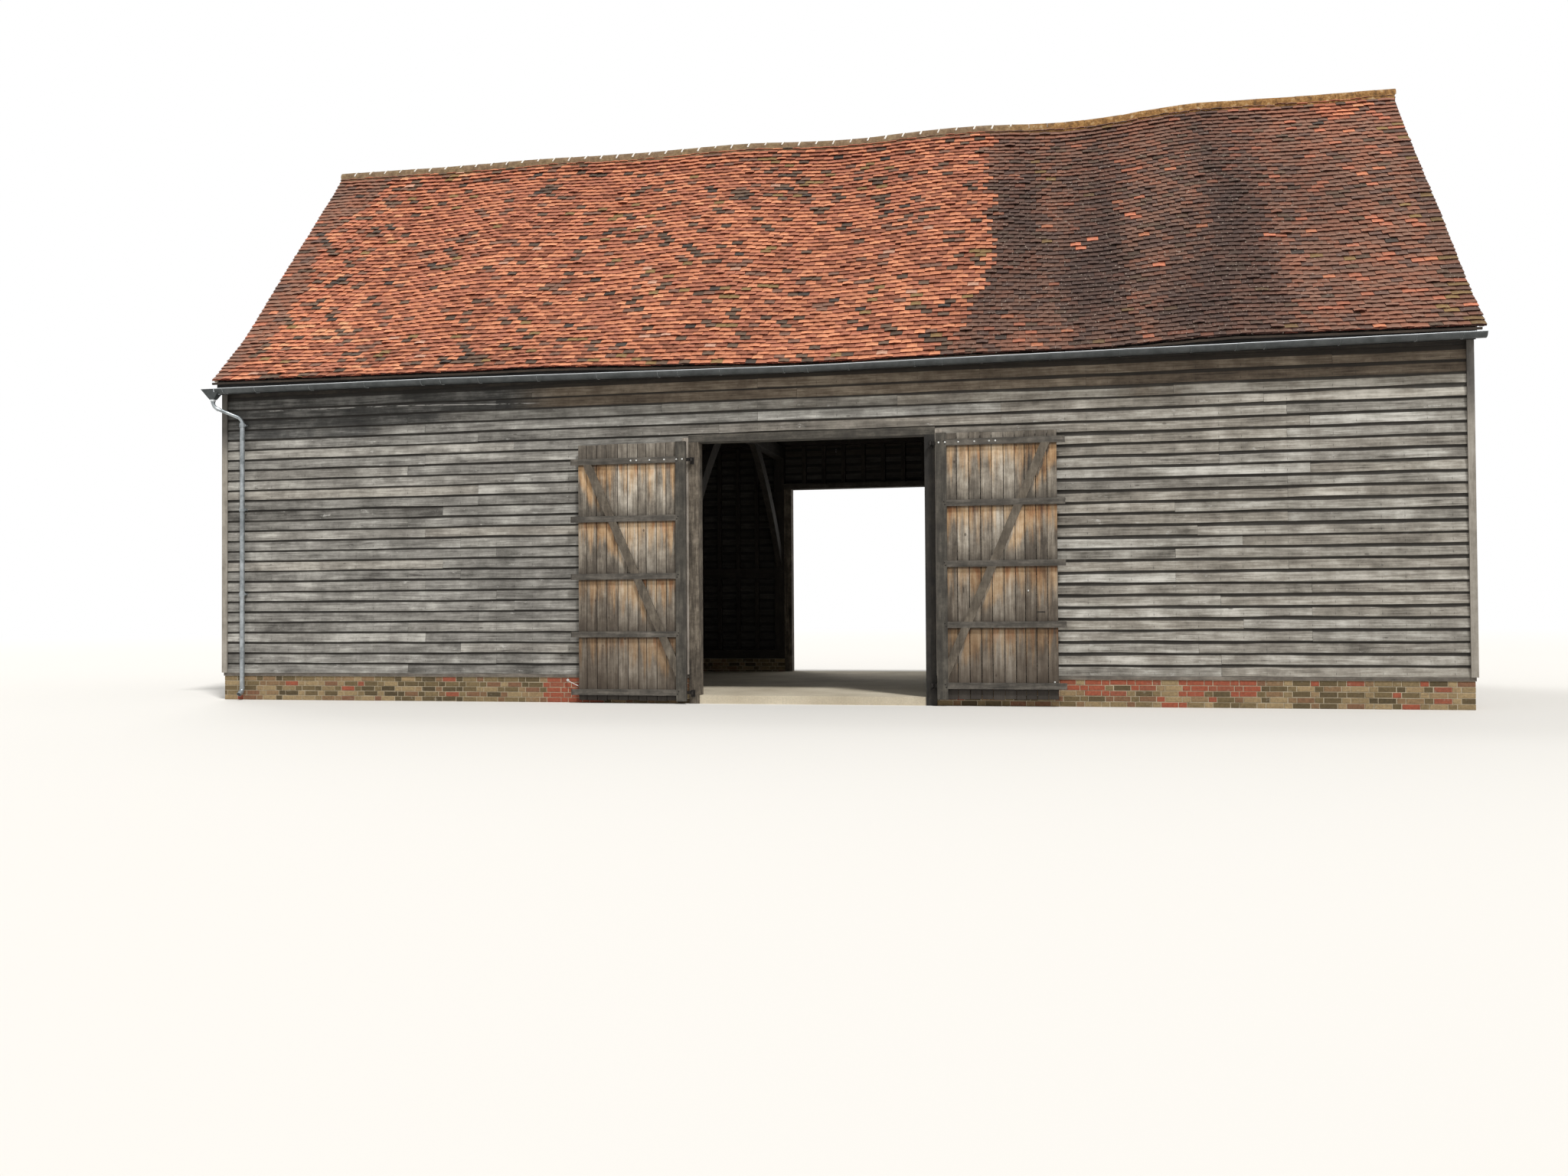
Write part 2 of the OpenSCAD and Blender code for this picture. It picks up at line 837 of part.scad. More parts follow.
module gutters() {
    color(zinc_grey) {
        gutter_run(1);
        mirror([0, 1, 0]) gutter_run(-1);
        hopper();
        rotate([0, 0, 180]) hopper();
    }
}

// Half-round strap under the rim at x, with a plate on the fascia
module gutter_clip(x, w) {
    inner_r = gutter_r + clip_play;
    strap_top = -bead_r - clip_play;
    plate_h = fascia_low - 2 * clip_in;
    on_rim(x - w / 2, x + w / 2) rotate([90, 0, 90]) linear_extrude(w) {
        difference() {
            circle(r = inner_r + clip_t);
            circle(r = inner_r);
            translate([-2 * gutter_r, strap_top]) square(4 * gutter_r);
        }
        translate([-gutter_r - gutter_gap, -plate_h - clip_in])
            square([gutter_gap - clip_play, plate_h]);
    }
}

// Unions at the joints, clips at the ends, and clips between where no union is near
module gutter_brackets() {
    joints = [for (k = [1:len(rim_drops) - 2]) rim_drops[k][0]];
    end_clip = outlet_x - hopper_half - clip_in_end;
    clips = floor(end_clip / clip_gap);
    between = [
        for (k = [-clips:clips])
            if (min([for (j = joints) abs(k * clip_gap - j)]) > clip_gap / 4) k * clip_gap
    ];
    color(zinc_grey) front_and_back() {
        for (x = joints) gutter_clip(x, union_w);
        for (x = concat(between, [-end_clip, end_clip])) gutter_clip(x, clip_w);
    }
}

// Straight length of pipe between two points
module pipe_between(a, b, r) {
    v = b - a;
    len_v = norm(v);
    translate(a) rotate([0, acos(v[2] / len_v), atan2(v[1], v[0])]) cylinder(r = r, h = len_v);
}

// Bend that starts at the origin, heads down and turns towards +X
module pipe_bend(angle, bend_r, r) {
    translate([bend_r, 0, 0]) rotate([90, 0, 0]) rotate([0, 0, 180])
        rotate_extrude(angle = angle) translate([bend_r, 0]) circle(r = r);
}

// End point of such a bend and its way there
function bend_end(angle, bend_r) = [bend_r * (1 - cos(angle)), 0, -bend_r * sin(angle)];
function bend_way(angle) = [sin(angle), 0, -cos(angle)];

// Socket round the joint at a point between a bend and a straight length
module socket(at, way, r) {
    pipe_between(at - way * socket_h / 2, at + way * socket_h / 2, r + socket_t);
}

// Swan neck from the origin down and along +X to the top of the pipe
module swan_neck() {
    foot = [swan_plan, 0, -swan_drop];
    bend = bend_end(swan_turn, swan_bend_r);
    way = bend_way(swan_turn);
    cylinder(r = swan_r, h = spigot_h);
    pipe_bend(swan_turn, swan_bend_r, swan_r);
    pipe_between(foot - bend, bend, swan_r);
    translate(foot) rotate([0, 180, 0]) pipe_bend(swan_turn, swan_bend_r, swan_r);
    socket([0, 0, -socket_h / 4], [0, 0, 1], swan_r);
    socket(bend, way, swan_r);
    socket(foot - bend, way, swan_r);
}

// Shoe from the origin down and out along +X, open at its mouth
module pipe_shoe() {
    end = bend_end(shoe_turn, shoe_bend_r);
    way = bend_way(shoe_turn);
    mouth = end + way * shoe_toe;
    difference() {
        union() {
            pipe_bend(shoe_turn, shoe_bend_r, pipe_r);
            pipe_between(end, mouth, pipe_r);
            socket([0, 0, 0], [0, 0, 1], pipe_r);
            socket(end, way, pipe_r);
        }
        pipe_between(end + way * socket_h, mouth + way, pipe_r - gutter_t);
    }
}

// Swan neck, pipe, wall bands and shoe of the downpipe at the back right corner
module downpipe() {
    pipe_top = swan_top_z - swan_drop;
    translate([outlet_x, gutter_y, swan_top_z])
        rotate([0, 0, atan2(pipe_y - gutter_y, pipe_x - outlet_x)]) swan_neck();
    translate([pipe_x, pipe_y, 0]) {
        translate([0, 0, shoe_z]) cylinder(r = pipe_r, h = pipe_top - shoe_z);
        socket([0, 0, pipe_top], [0, 0, 1], pipe_r);
        translate([0, 0, shoe_z]) rotate([0, 0, 90]) pipe_shoe();
        for (z = band_zs) translate([0, 0, z]) {
            cylinder(r = pipe_r + band_t, h = band_h);
            translate([-band_plate_w / 2, half_wid - pipe_y, band_h / 4])
                cube([band_plate_w, pipe_y - half_wid, band_h / 2]);
        }
    }
}

module downpipes() {
    color(zinc_grey) {
        downpipe();
        rotate([0, 0, 180]) downpipe();
    }
}

// Door leaves

// The children at a leaf's hinge axis, with +X away from the doorway
module at_hinge(side) {
    translate([door_x + side * (door_w / 2 + hinge_off), hinge_y, 0])
        mirror([side < 0 ? 1 : 0, 0, 0]) children();
}

leaf_end = leaf_reach + leaf_w;
ledge_back = -leaf_board_t / 2;
ledge_front = ledge_back - ledge_t;
function ledge_level(first, i) = first + i * ledge_rise;

module leaf_boards(side, low) {
    at_hinge(side)
        block(leaf_reach, leaf_end, -leaf_board_t / 2, leaf_board_t / 2, low, leaf_top);
}

// Ledges from the stile past the free edge, where they are cut back to clear the other leaf
module leaf_ledges(side, first) {
    at_hinge(side) for (i = [0:ledge_count - 1])
        translate([0, 0, ledge_level(first, i) - ledge_h / 2]) linear_extrude(ledge_h)
            polygon([
                [leaf_reach + stile_w, ledge_back],
                [leaf_reach + stile_w, ledge_front],
                [leaf_end + ledge_tip - tip_taper, ledge_front],
                [leaf_end + ledge_tip, ledge_front + tip_taper],
                [leaf_end + ledge_tip, ledge_back - tip_cut],
                [leaf_end, ledge_back - tip_cut],
                [leaf_end, ledge_back]
            ]);
}

module leaf_stile(side, low) {
    at_hinge(side)
        block(leaf_reach, leaf_reach + stile_w, ledge_front, ledge_back, low, leaf_top);
}

// Brace in line from the stile's foot to the top ledge, cut between the ledges
module leaf_brace(side, first, foot_rise) {
    x0 = leaf_reach + stile_w;
    x1 = leaf_end - brace_head_in;
    z0 = first + ledge_h / 2 + foot_rise;
    z1 = ledge_level(first, ledge_count - 1) - ledge_h / 2;
    slope = (z1 - z0) / (x1 - x0);
    at_hinge(side) translate([0, ledge_back, 0]) rotate([90, 0, 0]) linear_extrude(ledge_t)
        difference() {
            polygon([[x0, z0], [x1, z1], [x1 - brace_w, z1], [x0, z0 + brace_w * slope]]);
            for (i = [0:ledge_count - 1])
                translate([0, ledge_level(first, i) - ledge_h / 2])
                    square([leaf_end, ledge_h]);
        }
}

// One strap with a rolled eye round the hinge axis, tapered to a spear point
module strap(z) {
    tip_x = leaf_reach + strap_len;
    neck_x = tip_x - strap_point;
    translate([0, 0, z - strap_h / 2]) difference() {
        union() {
            cylinder(r = eye_r, h = strap_h);
            translate([0, strap_y, 0]) rotate([90, 0, 0]) linear_extrude(strap_t) polygon([
                [0, 0], [neck_x, strap_taper], [neck_x, spear_in], [tip_x, strap_h / 2],
                [neck_x, strap_h - spear_in], [neck_x, strap_h - strap_taper], [0, strap_h]
            ]);
        }
        translate([0, 0, -1]) cylinder(r = bore_r, h = strap_h + 2);
    }
}

module leaf_straps(side, first) {
    at_hinge(side) {
        strap(first);
        strap(ledge_level(first, ledge_count - 1));
    }
}

// Pin, shank and plate that carry one eye
module pintle(z) {
    low = z - strap_h / 2 - pin_gap - shank_h;
    translate([0, 0, low]) cylinder(r = pin_r, h = shank_h + strap_h + pin_gap + pin_past);
    block(-pin_r, pin_r, 0, hinge_out, low, low + shank_h);
    block(-plate_half, plate_half, hinge_out - pintle_plate_t, hinge_out,
        low - pintle_foot, low + shank_h + pintle_head);
}

module door_pintles() {
    color(iron_black) {
        at_hinge(-1) {
            pintle(left_ledge_z);
            pintle(ledge_level(left_ledge_z, ledge_count - 1));
        }
        at_hinge(1) {
            pintle(right_ledge_z);
            pintle(ledge_level(right_ledge_z, ledge_count - 1));
        }
    }
}

module left_door_boards() {
    color(oak_grey) leaf_boards(-1, left_low);
}

module left_door_ledges() {
    color(frame_brown) leaf_ledges(-1, left_ledge_z);
}

module left_door_stile() {
    color(frame_brown) leaf_stile(-1, left_low);
}

module left_door_brace() {
    color(frame_brown) leaf_brace(-1, left_ledge_z, brace_foot_left);
}

module left_door_straps() {
    color(iron_black) leaf_straps(-1, left_ledge_z);
}

module right_door_boards() {
    color(oak_grey) leaf_boards(1, right_low);
}

module right_door_ledges() {
    color(frame_brown) leaf_ledges(1, right_ledge_z);
}

module right_door_stile() {
    color(frame_brown) leaf_stile(1, right_low);
}

module right_door_brace() {
    color(frame_brown) leaf_brace(1, right_ledge_z, brace_foot_right);
}

module right_door_straps() {
    color(iron_black) leaf_straps(1, right_ledge_z);
}

floor_slab();
front_plinths();
back_plinths();
gable_plinths();
wall_sill_beams();
gable_sill_beams();
frame_posts();
door_posts();
door_lintels();
wall_plates();
tie_beams();
arch_braces();
wall_studs();
mid_rails();
front_rafters();
back_rafters();
purlins();
collars();
queen_posts();
front_boarding_left();
front_boarding_right();
front_boarding_over_door();
back_boarding_left();
back_boarding_right();
back_boarding_over_door();
left_gable_boarding();
right_gable_boarding();
drip_boards();
corner_boards();
door_cover_boards();
front_roof();
back_roof();
ridge_tiles();
bargeboards();
fascias();
gutters();
gutter_brackets();
downpipes();
door_pintles();
left_door_boards();
left_door_ledges();
left_door_stile();
left_door_brace();
left_door_straps();
right_door_boards();
right_door_ledges();
right_door_stile();
right_door_brace();
right_door_straps();
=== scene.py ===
"""The looks of the timber barn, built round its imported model: roof tiles, weatherboards, bricks,
door boards and ironwork as meshes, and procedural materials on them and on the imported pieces."""

import math

import bmesh
import bpy
import numpy as np
from mathutils import Matrix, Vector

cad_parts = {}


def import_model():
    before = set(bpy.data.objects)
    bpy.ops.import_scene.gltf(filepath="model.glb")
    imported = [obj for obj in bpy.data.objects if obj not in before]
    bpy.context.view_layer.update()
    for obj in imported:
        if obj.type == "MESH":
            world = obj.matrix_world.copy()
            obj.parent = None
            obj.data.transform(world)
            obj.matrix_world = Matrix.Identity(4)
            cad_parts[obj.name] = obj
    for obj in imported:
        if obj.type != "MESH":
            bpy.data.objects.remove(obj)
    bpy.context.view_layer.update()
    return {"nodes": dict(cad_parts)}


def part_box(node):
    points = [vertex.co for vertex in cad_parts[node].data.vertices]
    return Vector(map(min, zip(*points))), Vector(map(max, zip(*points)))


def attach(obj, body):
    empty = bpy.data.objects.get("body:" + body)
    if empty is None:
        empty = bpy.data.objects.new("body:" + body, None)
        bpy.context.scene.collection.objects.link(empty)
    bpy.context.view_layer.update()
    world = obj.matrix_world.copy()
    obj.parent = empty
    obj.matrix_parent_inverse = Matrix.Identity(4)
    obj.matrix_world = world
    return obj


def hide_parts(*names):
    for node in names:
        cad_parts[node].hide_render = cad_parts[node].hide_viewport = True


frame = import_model()

# Camera, solved from the photograph, which is 2048 pixels wide
PHOTO_W = 2048
FOCAL_PX = 1651.9
SENSOR_MM = 36.0
EYE = (3.531, -21.523, 1.371)
YAW, PITCH, ROLL = math.radians(11.36), math.radians(0.955), math.radians(-0.367)

# Sizes of the small pieces, in metres
COURSES = 59
TILE_W, TILE_T, TILE_LAP = 0.165, 0.015, 0.055
RIDGE_TILE, RIDGE_R, RIDGE_T, RIDGE_ROOM = 0.300, 0.100, 0.014, 0.004
LAST_WHITE_JOINT = 3.3
BOARD_RISE, BOARD_LAP = 0.160, 0.030
BOARD_FOOT, BOARD_HEAD, BOARD_PROUD = 0.020, 0.006, 0.010
BRICK_L, BRICK_H, HEADER_L, JOINT, BED = 0.215, 0.065, 0.1025, 0.010, 0.004
NAIL_GAP = 0.29
LEDGE_RISE, LEDGE_HALF = 0.850, 0.043

# Where the colours of a tile's tail, a board's foot and a board's top edge are drawn on the OFBake map
TAIL_SHARE = 0.15
FOOT_MARK, FOOT_ROOM, HEAD_ROOM = 0.005, 0.018, 0.004


def srgb(r, g, b):
    """A linear colour from the usual numbers from 0 to 255."""
    return tuple(
        c / 12.92 if c <= 0.04045 else ((c + 0.055) / 1.055) ** 2.4
        for c in (r / 255, g / 255, b / 255)
    ) + (1.0,)


# Helpers for shapes


def corners(node):
    """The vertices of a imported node, as an array."""
    mesh = frame["nodes"][node].data
    co = np.zeros(len(mesh.vertices) * 3)
    mesh.vertices.foreach_get("co", co)
    return co.reshape(-1, 3)


def wave(random, lengths, height):
    """A smooth random line: a sum of sines of about these wavelengths."""
    phases = random.uniform(0, 2 * math.pi, len(lengths))
    spans = np.array(lengths) * random.uniform(0.8, 1.25, len(lengths))
    share = height / len(lengths)
    return lambda x: share * sum(
        np.sin(2 * math.pi * np.asarray(x) / s + p) for s, p in zip(spans, phases)
    )


def field(seed, cell_x, cell_y):
    """A smooth random field from -1 to 1 with bumps of about this size."""
    size, far = 96, 200
    table = np.random.default_rng(seed).uniform(-1, 1, (size, size))

    def value(x, y):
        u, v = np.asarray(x) / cell_x + far, np.asarray(y) / cell_y + far
        i, j = np.floor(u).astype(int), np.floor(v).astype(int)
        s, t = u - i, v - j
        s, t = s * s * (3 - 2 * s), t * t * (3 - 2 * t)
        i, j, right, above = i % size, j % size, (i + 1) % size, (j + 1) % size
        low = table[i, j] * (1 - s) + table[right, j] * s
        high = table[i, above] * (1 - s) + table[right, above] * s
        return low * (1 - t) + high * t

    return value


class Gather:
    """Closed solids gathered into one mesh, each with its own tone and its own stretch of grain."""

    def __init__(self, seed):
        self.random = np.random.default_rng(seed)
        self.points, self.faces, self.tones = [], [], []
        self.grains, self.spots, self.flats = [], [], []
        self.used = 0

    def loft(self, rings, grain=None, tone=None, spot=None, flat=None):
        """Adds a closed solid through rings of points, with an end on the first and the last.
        grain is (along, across, deep) of each point in metres, spot is three numbers that its
        look reads, and flat is its place on the OFBake map of its colours."""
        rings = np.asarray(rings, float)
        count, sides = rings.shape[:2]
        points = rings.reshape(-1, 3)
        grain = points if grain is None else np.asarray(grain, float).reshape(-1, 3)
        spot = np.zeros_like(points) if spot is None else np.asarray(spot, float).reshape(-1, 3)
        tone = self.random.uniform() if tone is None else tone
        last = self.used + (count - 1) * sides
        for start in range(self.used, last, sides):
            for i, j in zip(range(sides), [*range(1, sides), 0]):
                self.faces.append([start + i, start + j, start + sides + j, start + sides + i])
        self.faces += [list(range(start, start + sides)) for start in (self.used, last)]
        self.points.append(points)
        self.tones.append(np.full(len(points), tone))
        self.grains.append(grain + self.random.uniform(0, 40, 3))
        self.spots.append(spot)
        if flat is not None:
            self.flats.append(np.asarray(flat, float).reshape(-1, 2))
        self.used += len(points)

    def box(self, low, high, along=0):
        """A box with its grain along that axis."""
        a, b = [k for k in range(3) if k != along]
        rings = np.empty((2, 4, 3))
        for ring, end in zip(rings, (low, high)):
            ring[:, along] = end[along]
            ring[:, a] = low[a], high[a], high[a], low[a]
            ring[:, b] = low[b], low[b], high[b], high[b]
        self.loft(rings, rings[..., [along, a, b]])

    def mesh(self, name, smooth):
        mesh = bpy.data.meshes.new(name)
        mesh.from_pydata(np.concatenate(self.points).tolist(), [], self.faces)
        outward(mesh)
        set_values(mesh, "grain", "FLOAT_VECTOR", "vector", np.concatenate(self.grains))
        set_values(mesh, "spot", "FLOAT_VECTOR", "vector", np.concatenate(self.spots))
        set_values(mesh, "tone", "FLOAT", "value", np.concatenate(self.tones))
        if self.flats:
            set_map(mesh, np.concatenate(self.flats))
        if smooth:
            mesh.shade_smooth()
            mesh.set_sharp_from_angle(angle=math.radians(40))
        return mesh


def set_values(mesh, name, kind, key, values, domain="POINT"):
    made = mesh.attributes.new(name, kind, domain)
    made.data.foreach_set(key, np.asarray(values, np.float32).ravel())


def corner_points(mesh):
    """The vertex at each corner of each face."""
    points = np.zeros(len(mesh.loops), int)
    mesh.loops.foreach_get("vertex_index", points)
    return points


def set_map(mesh, flat):
    """The OFBake map that colours are drawn on. Where faces overlap, the last one is drawn."""
    low, high = flat.min(axis=0), flat.max(axis=0)
    flat = 0.002 + 0.996 * (flat - low) / (high - low)
    made = mesh.uv_layers.new(name="OFBake")
    made.uv.foreach_set("vector", flat[corner_points(mesh)].astype(np.float32).ravel())


def outward(mesh):
    """Turns the faces of closed solids outward."""
    work = bmesh.new()
    work.from_mesh(mesh)
    bmesh.ops.recalc_face_normals(work, faces=work.faces)
    work.to_mesh(mesh)
    work.free()


def circle(count):
    """Angles of points spread evenly round a circle."""
    return np.linspace(0, 2 * math.pi, count, endpoint=False)


def piece(name, shape, material, body="barn", replaces=(), smooth=False):
    """A visible piece from a mesh or from gathered solids."""
    mesh = shape.mesh(name, smooth) if isinstance(shape, Gather) else shape
    made = bpy.data.objects.new(name, mesh)
    bpy.context.scene.collection.objects.link(made)
    mesh.materials.append(material)
    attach(made, body)
    if replaces:
        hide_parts(*replaces)


def paint(material, *nodes):
    """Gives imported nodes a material."""
    for name in nodes:
        mesh = frame["nodes"][name].data
        mesh.materials.clear()
        mesh.materials.append(material)


# Helpers for materials


class Value:
    """An output of a node. Arithmetic and calls on it add the nodes that they take."""

    def __init__(self, nodes, socket):
        self.nodes, self.socket = nodes, socket

    def __add__(self, other):
        return self.nodes.math("ADD", self, other)

    def __sub__(self, other):
        return self.nodes.math("SUBTRACT", self, other)

    def __rsub__(self, other):
        return self.nodes.math("SUBTRACT", other, self)

    def __mul__(self, other):
        return self.nodes.math("MULTIPLY", self, other)

    def __truediv__(self, other):
        return self.nodes.math("DIVIDE", self, other)

    def __abs__(self):
        return self.nodes.math("ABSOLUTE", self)

    def fract(self):
        return self.nodes.math("FRACT", self)

    def also(self, output):
        """Another output of the same node."""
        return Value(self.nodes, self.socket.node.outputs[output])

    def axis(self, letter):
        return self.nodes.node("SeparateXYZ", letter, {"Vector": self})

    def stretch(self, *scale):
        return self.nodes.node("Mapping", "Vector", {"Vector": self, "Scale": scale})

    def noise(self, scale, detail=5.0, roughness=0.6):
        """Noise at one scale, or at a scale for each axis."""
        if isinstance(scale, tuple):
            return self.stretch(*scale).noise(1.0, detail, roughness)
        inputs = {"Vector": self, "Scale": scale, "Detail": detail, "Roughness": roughness}
        return self.nodes.node("TexNoise", "Fac", inputs)

    def step(self, low, high):
        """Rises smoothly from 0 at low to 1 at high."""
        inputs = {"Value": self, "From Min": low, "From Max": high}
        return self.nodes.node("MapRange", "Result", inputs, interpolation_type="SMOOTHSTEP")

    def spots(self, scale, radius, share):
        """1 inside round spots, such as knots, in that share of the cells of a random pattern."""
        inputs = {"Vector": self.stretch(*scale), "Scale": 1.0}
        cell = self.nodes.node("TexVoronoi", "Distance", inputs)
        some = cell.also("Color").axis("X").step(1 - share, 1.01 - share)
        return cell.step(radius, radius * 0.55) * some

    def ramp(self, *stops):
        """Colours along the value, as stops of (place, red, green, blue)."""
        return self.colours([(place, srgb(*rgb)) for place, *rgb in stops])

    def greys(self, low, high):
        return self.colours([(0.3, (low, low, low, 1.0)), (0.7, (high, high, high, 1.0))])

    def colours(self, stops):
        made = self.nodes.node("ValToRGB", "Color", {"Fac": self})
        elements = made.socket.node.color_ramp.elements
        while len(elements) < len(stops):
            elements.new(0.5)
        for element, (place, colour) in zip(elements, stops):
            element.position = place
            element.color = colour
        return made

    def coat(self, over, share, how="MIX"):
        """This colour with another over it: a value, or numbers from 0 to 255."""
        over = srgb(*over) if isinstance(over, tuple) else over
        inputs = {0: share, 6: self, 7: over}
        return self.nodes.node("Mix", 2, inputs, data_type="RGBA", blend_type=how)

    def coats(self, *layers):
        """This colour with (colour, share) layers over it, the lowest first."""
        made = self
        for over, share in layers:
            made = made.coat(over, share)
        return made

    def mottled(self, noise, low, high):
        """This colour made darker where the noise is low and lighter where it is high."""
        return self.coat(noise.greys(low, high), 1.0, "MULTIPLY")


class Nodes:
    """A tree of nodes. Their inputs are given by name or by number."""

    def __init__(self, tree):
        self.tree = tree

    def feed(self, node, inputs):
        for key, value in inputs.items():
            if isinstance(value, Value):
                self.tree.links.new(value.socket, node.inputs[key])
            else:
                node.inputs[key].default_value = value

    def node(self, kind, output, inputs=(), **settings):
        made = self.tree.nodes.new("ShaderNode" + kind)
        for key, value in settings.items():
            setattr(made, key, value)
        self.feed(made, dict(inputs))
        return Value(self, made.outputs[output])

    def math(self, how, *operands):
        return self.node("Math", "Value", enumerate(operands), operation=how)

    def vector(self, how, *operands):
        return self.node("VectorMath", "Value", enumerate(operands), operation=how)

    def attribute(self, name, output="Vector"):
        return self.node("Attribute", output, attribute_name=name)

    def normal(self):
        return self.node("NewGeometry", "Normal")

    def seen(self):
        """1 for rays from the camera or from a reflection, and 0 for other light."""
        camera_ray = self.node("LightPath", "Is Camera Ray")
        return self.math("MAXIMUM", camera_ray, camera_ray.also("Is Glossy Ray"))


class Look(Nodes):
    """The nodes of a material. place is where a point lies on the barn, in metres."""

    def __init__(self, name, roughness, metallic=0.0):
        self.material = bpy.data.materials.new(name)
        self.material.use_nodes = True
        super().__init__(self.material.node_tree)
        self.surface = self.tree.nodes["Principled BSDF"]
        self.feed(self.surface, {"Roughness": roughness, "Metallic": metallic})
        self.place = self.node("TexCoord", "Object")

    def finish(self, colour, height, strength, distance, **more):
        """Sets the colour, and the relief that the height gives it."""
        relief = self.node(
            "Bump", "Normal", {"Height": height, "Strength": strength, "Distance": distance})
        self.feed(self.surface, {"Base Color": colour, "Normal": relief, **more})
        return self.material


def wood_parts(place, along, tone=None):
    """Value, streak and relief of weathered timber with its grain along one axis."""

    def grain(slow, quick):
        return tuple(slow if axis == along else quick for axis in "XYZ")

    streak = place.noise(grain(1.3, 14), 6, 0.68)
    fibre = place.noise(grain(5, 180), 4, 0.65)
    value = streak * 0.40 + place.noise(4.5, 8, 0.72) * 0.40 + fibre * 0.20
    if tone is not None:
        value = value + (tone - 0.5) * 0.17
    return value, streak, fibre + streak


# Dark, middle and light colours of timber
TIMBER = {
    "grey_oak": ((66, 61, 55), (104, 97, 88), (140, 132, 121)),
    "brown_oak": ((36, 33, 29), (68, 64, 57), (108, 102, 92)),
    "ledge_oak": ((42, 39, 34), (82, 77, 70), (126, 119, 109)),
    "brace_oak": ((54, 47, 39), (94, 85, 73), (136, 126, 111)),
    # Painted shade: the frame inside the barn is made darker than the oak outside
    "shaded_inner_oak": ((26, 23, 20), (46, 41, 36), (68, 62, 54)),
    "strip_oak": ((120, 112, 102), (168, 158, 146), (196, 188, 176)),
    # Painted shade: the fascia is near black for the shadow under the eaves
    "shaded_fascia_oak": ((12, 11, 10), (20, 18, 16), (34, 31, 28)),
    "fillet_oak": ((36, 29, 23), (55, 45, 36), (76, 63, 50)),
}


def wood(name, along):
    """Plain timber with streaks along the grain."""
    look = Look(name + "_" + along.lower(), 0.85)
    value, streak, relief = wood_parts(look.place, along)
    dark, middle, light = TIMBER[name]
    colour = value.ramp((0.37, *dark), (0.5, *middle), (0.64, *light))
    return look.finish(colour.coat(dark, streak.step(0.36, 0.31) * 0.55), relief, 0.4, 0.004)


def weatherboard_look():
    """Silver-grey boards, dark and smooth under the eaves with soot and painted eaves shade, with a
    mark at most nails and painted shadow under each board. A board's spot is its place along the
    wall, its height above its own foot and the height of that foot."""
    look = Look("weatherboard", 0.86)
    grain, spot, tone = look.attribute("grain"), look.attribute("spot"), look.attribute("tone", "Fac")
    up, east = spot.axis("Y"), look.place.axis("X")
    value, streak, relief = wood_parts(grain, "X", tone)
    patch, lines = grain.noise((1.5, 2.6, 2.6), 3, 0.5), grain.noise((1.8, 44, 44), 3, 0.6)
    value = value * 0.66 + patch * 0.30 + lines * 0.24 - 0.10
    silver = value.ramp(
        (0.37, 74, 71, 66), (0.455, 114, 111, 105), (0.54, 149, 146, 139), (0.63, 194, 191, 183))
    tan = value.ramp((0.37, 76, 69, 60), (0.5, 128, 118, 104), (0.63, 180, 169, 152))
    bleached = value.ramp((0.38, 104, 98, 88), (0.5, 164, 158, 146), (0.61, 218, 214, 204))
    browner = tone.step(0.62, 0.85) * 0.35 + east.step(-5.0, 2.0) * 0.55
    colour = silver.coats(
        (tan, browner * tone.noise(90, 0).step(0.40, 0.60)),
        (bleached, east.step(1.6, 4.2) * 0.45),
        ((204, 201, 194), grain.noise((4, 11, 11), 8, 0.75).step(0.60, 0.70) * 0.6))

    # The top boards under the eaves: soot and painted eaves shade, grey on the left and brown further
    # on
    soot_and_shade = value.ramp((0.38, 38, 37, 36), (0.5, 74, 73, 70), (0.62, 130, 128, 124))
    umber = value.ramp((0.38, 68, 57, 46), (0.5, 110, 97, 82), (0.62, 154, 141, 123))
    drift = look.place.noise(0.35, 4, 0.55) - 0.5
    level = spot.axis("Z") + drift * 0.45 + east.step(-4.5, -7.0) * 0.26
    colour = colour.coat(soot_and_shade.coat(umber, east.step(-4.4, -3.4)), level.step(4.31, 4.36))

    # Nail heads with a stain below, and knots
    off = abs((spot.axis("X") / NAIL_GAP).fract() - 0.5) + grain.noise(9, 3) * 0.03
    near = off.step(0.042, 0.020) * grain.noise((1.9, 5, 5), 2).step(0.42, 0.52)
    head = up.step(0.064, 0.052) * up.step(0.026, 0.038)
    colour = colour.coats(
        ((48, 44, 40), (head * 0.45 + 0.08) * near),
        ((58, 52, 46), grain.spots((2.4, 7, 7), 0.10, 0.22) * 0.6))

    # Painted shadow under the board above, wider right of the doorway, painted shade on the board's
    # foot, and cracks
    ragged = grain.noise((0.55, 0.6, 0.6), 2).step(0.40, 0.62)
    shadow_line_height = up + streak * 0.02 + east.step(2.8, 3.8) * (ragged * 0.013 + 0.006)
    colour = colour.coats(
        ((28, 24, 20), shadow_line_height.step(0.142, 0.152) * 0.9),
        ((46, 42, 36), up.step(0.009, 0.003) * 0.8),
        ((56, 52, 47), streak.step(0.35, 0.30) * 0.6))

    # A pale rubbed line across the top boards on the left, and painted shade on the faces that look
    # into the barn
    line = abs(look.place.axis("Z") + east.step(-6.3, -3.8) * 0.045 - 4.54).step(0.011, 0.004)
    rubbed = look.place.noise((3.2, 0, 20), 5, 0.7).step(0.44, 0.54) * line
    span = east.step(-8.5, -8.2) * east.step(-3.7, -4.1) * look.place.axis("Y").step(0.0, -1.0)
    outward_share = look.vector("DOT_PRODUCT", look.normal(), look.place.stretch(1, 1, 0))
    colour = colour.coats(
        ((206, 203, 198), rubbed * span * 0.75),
        ((30, 27, 24), outward_share.step(0.0, -0.4) * 0.85))
    return look.finish(colour, relief, 0.35, 0.004)


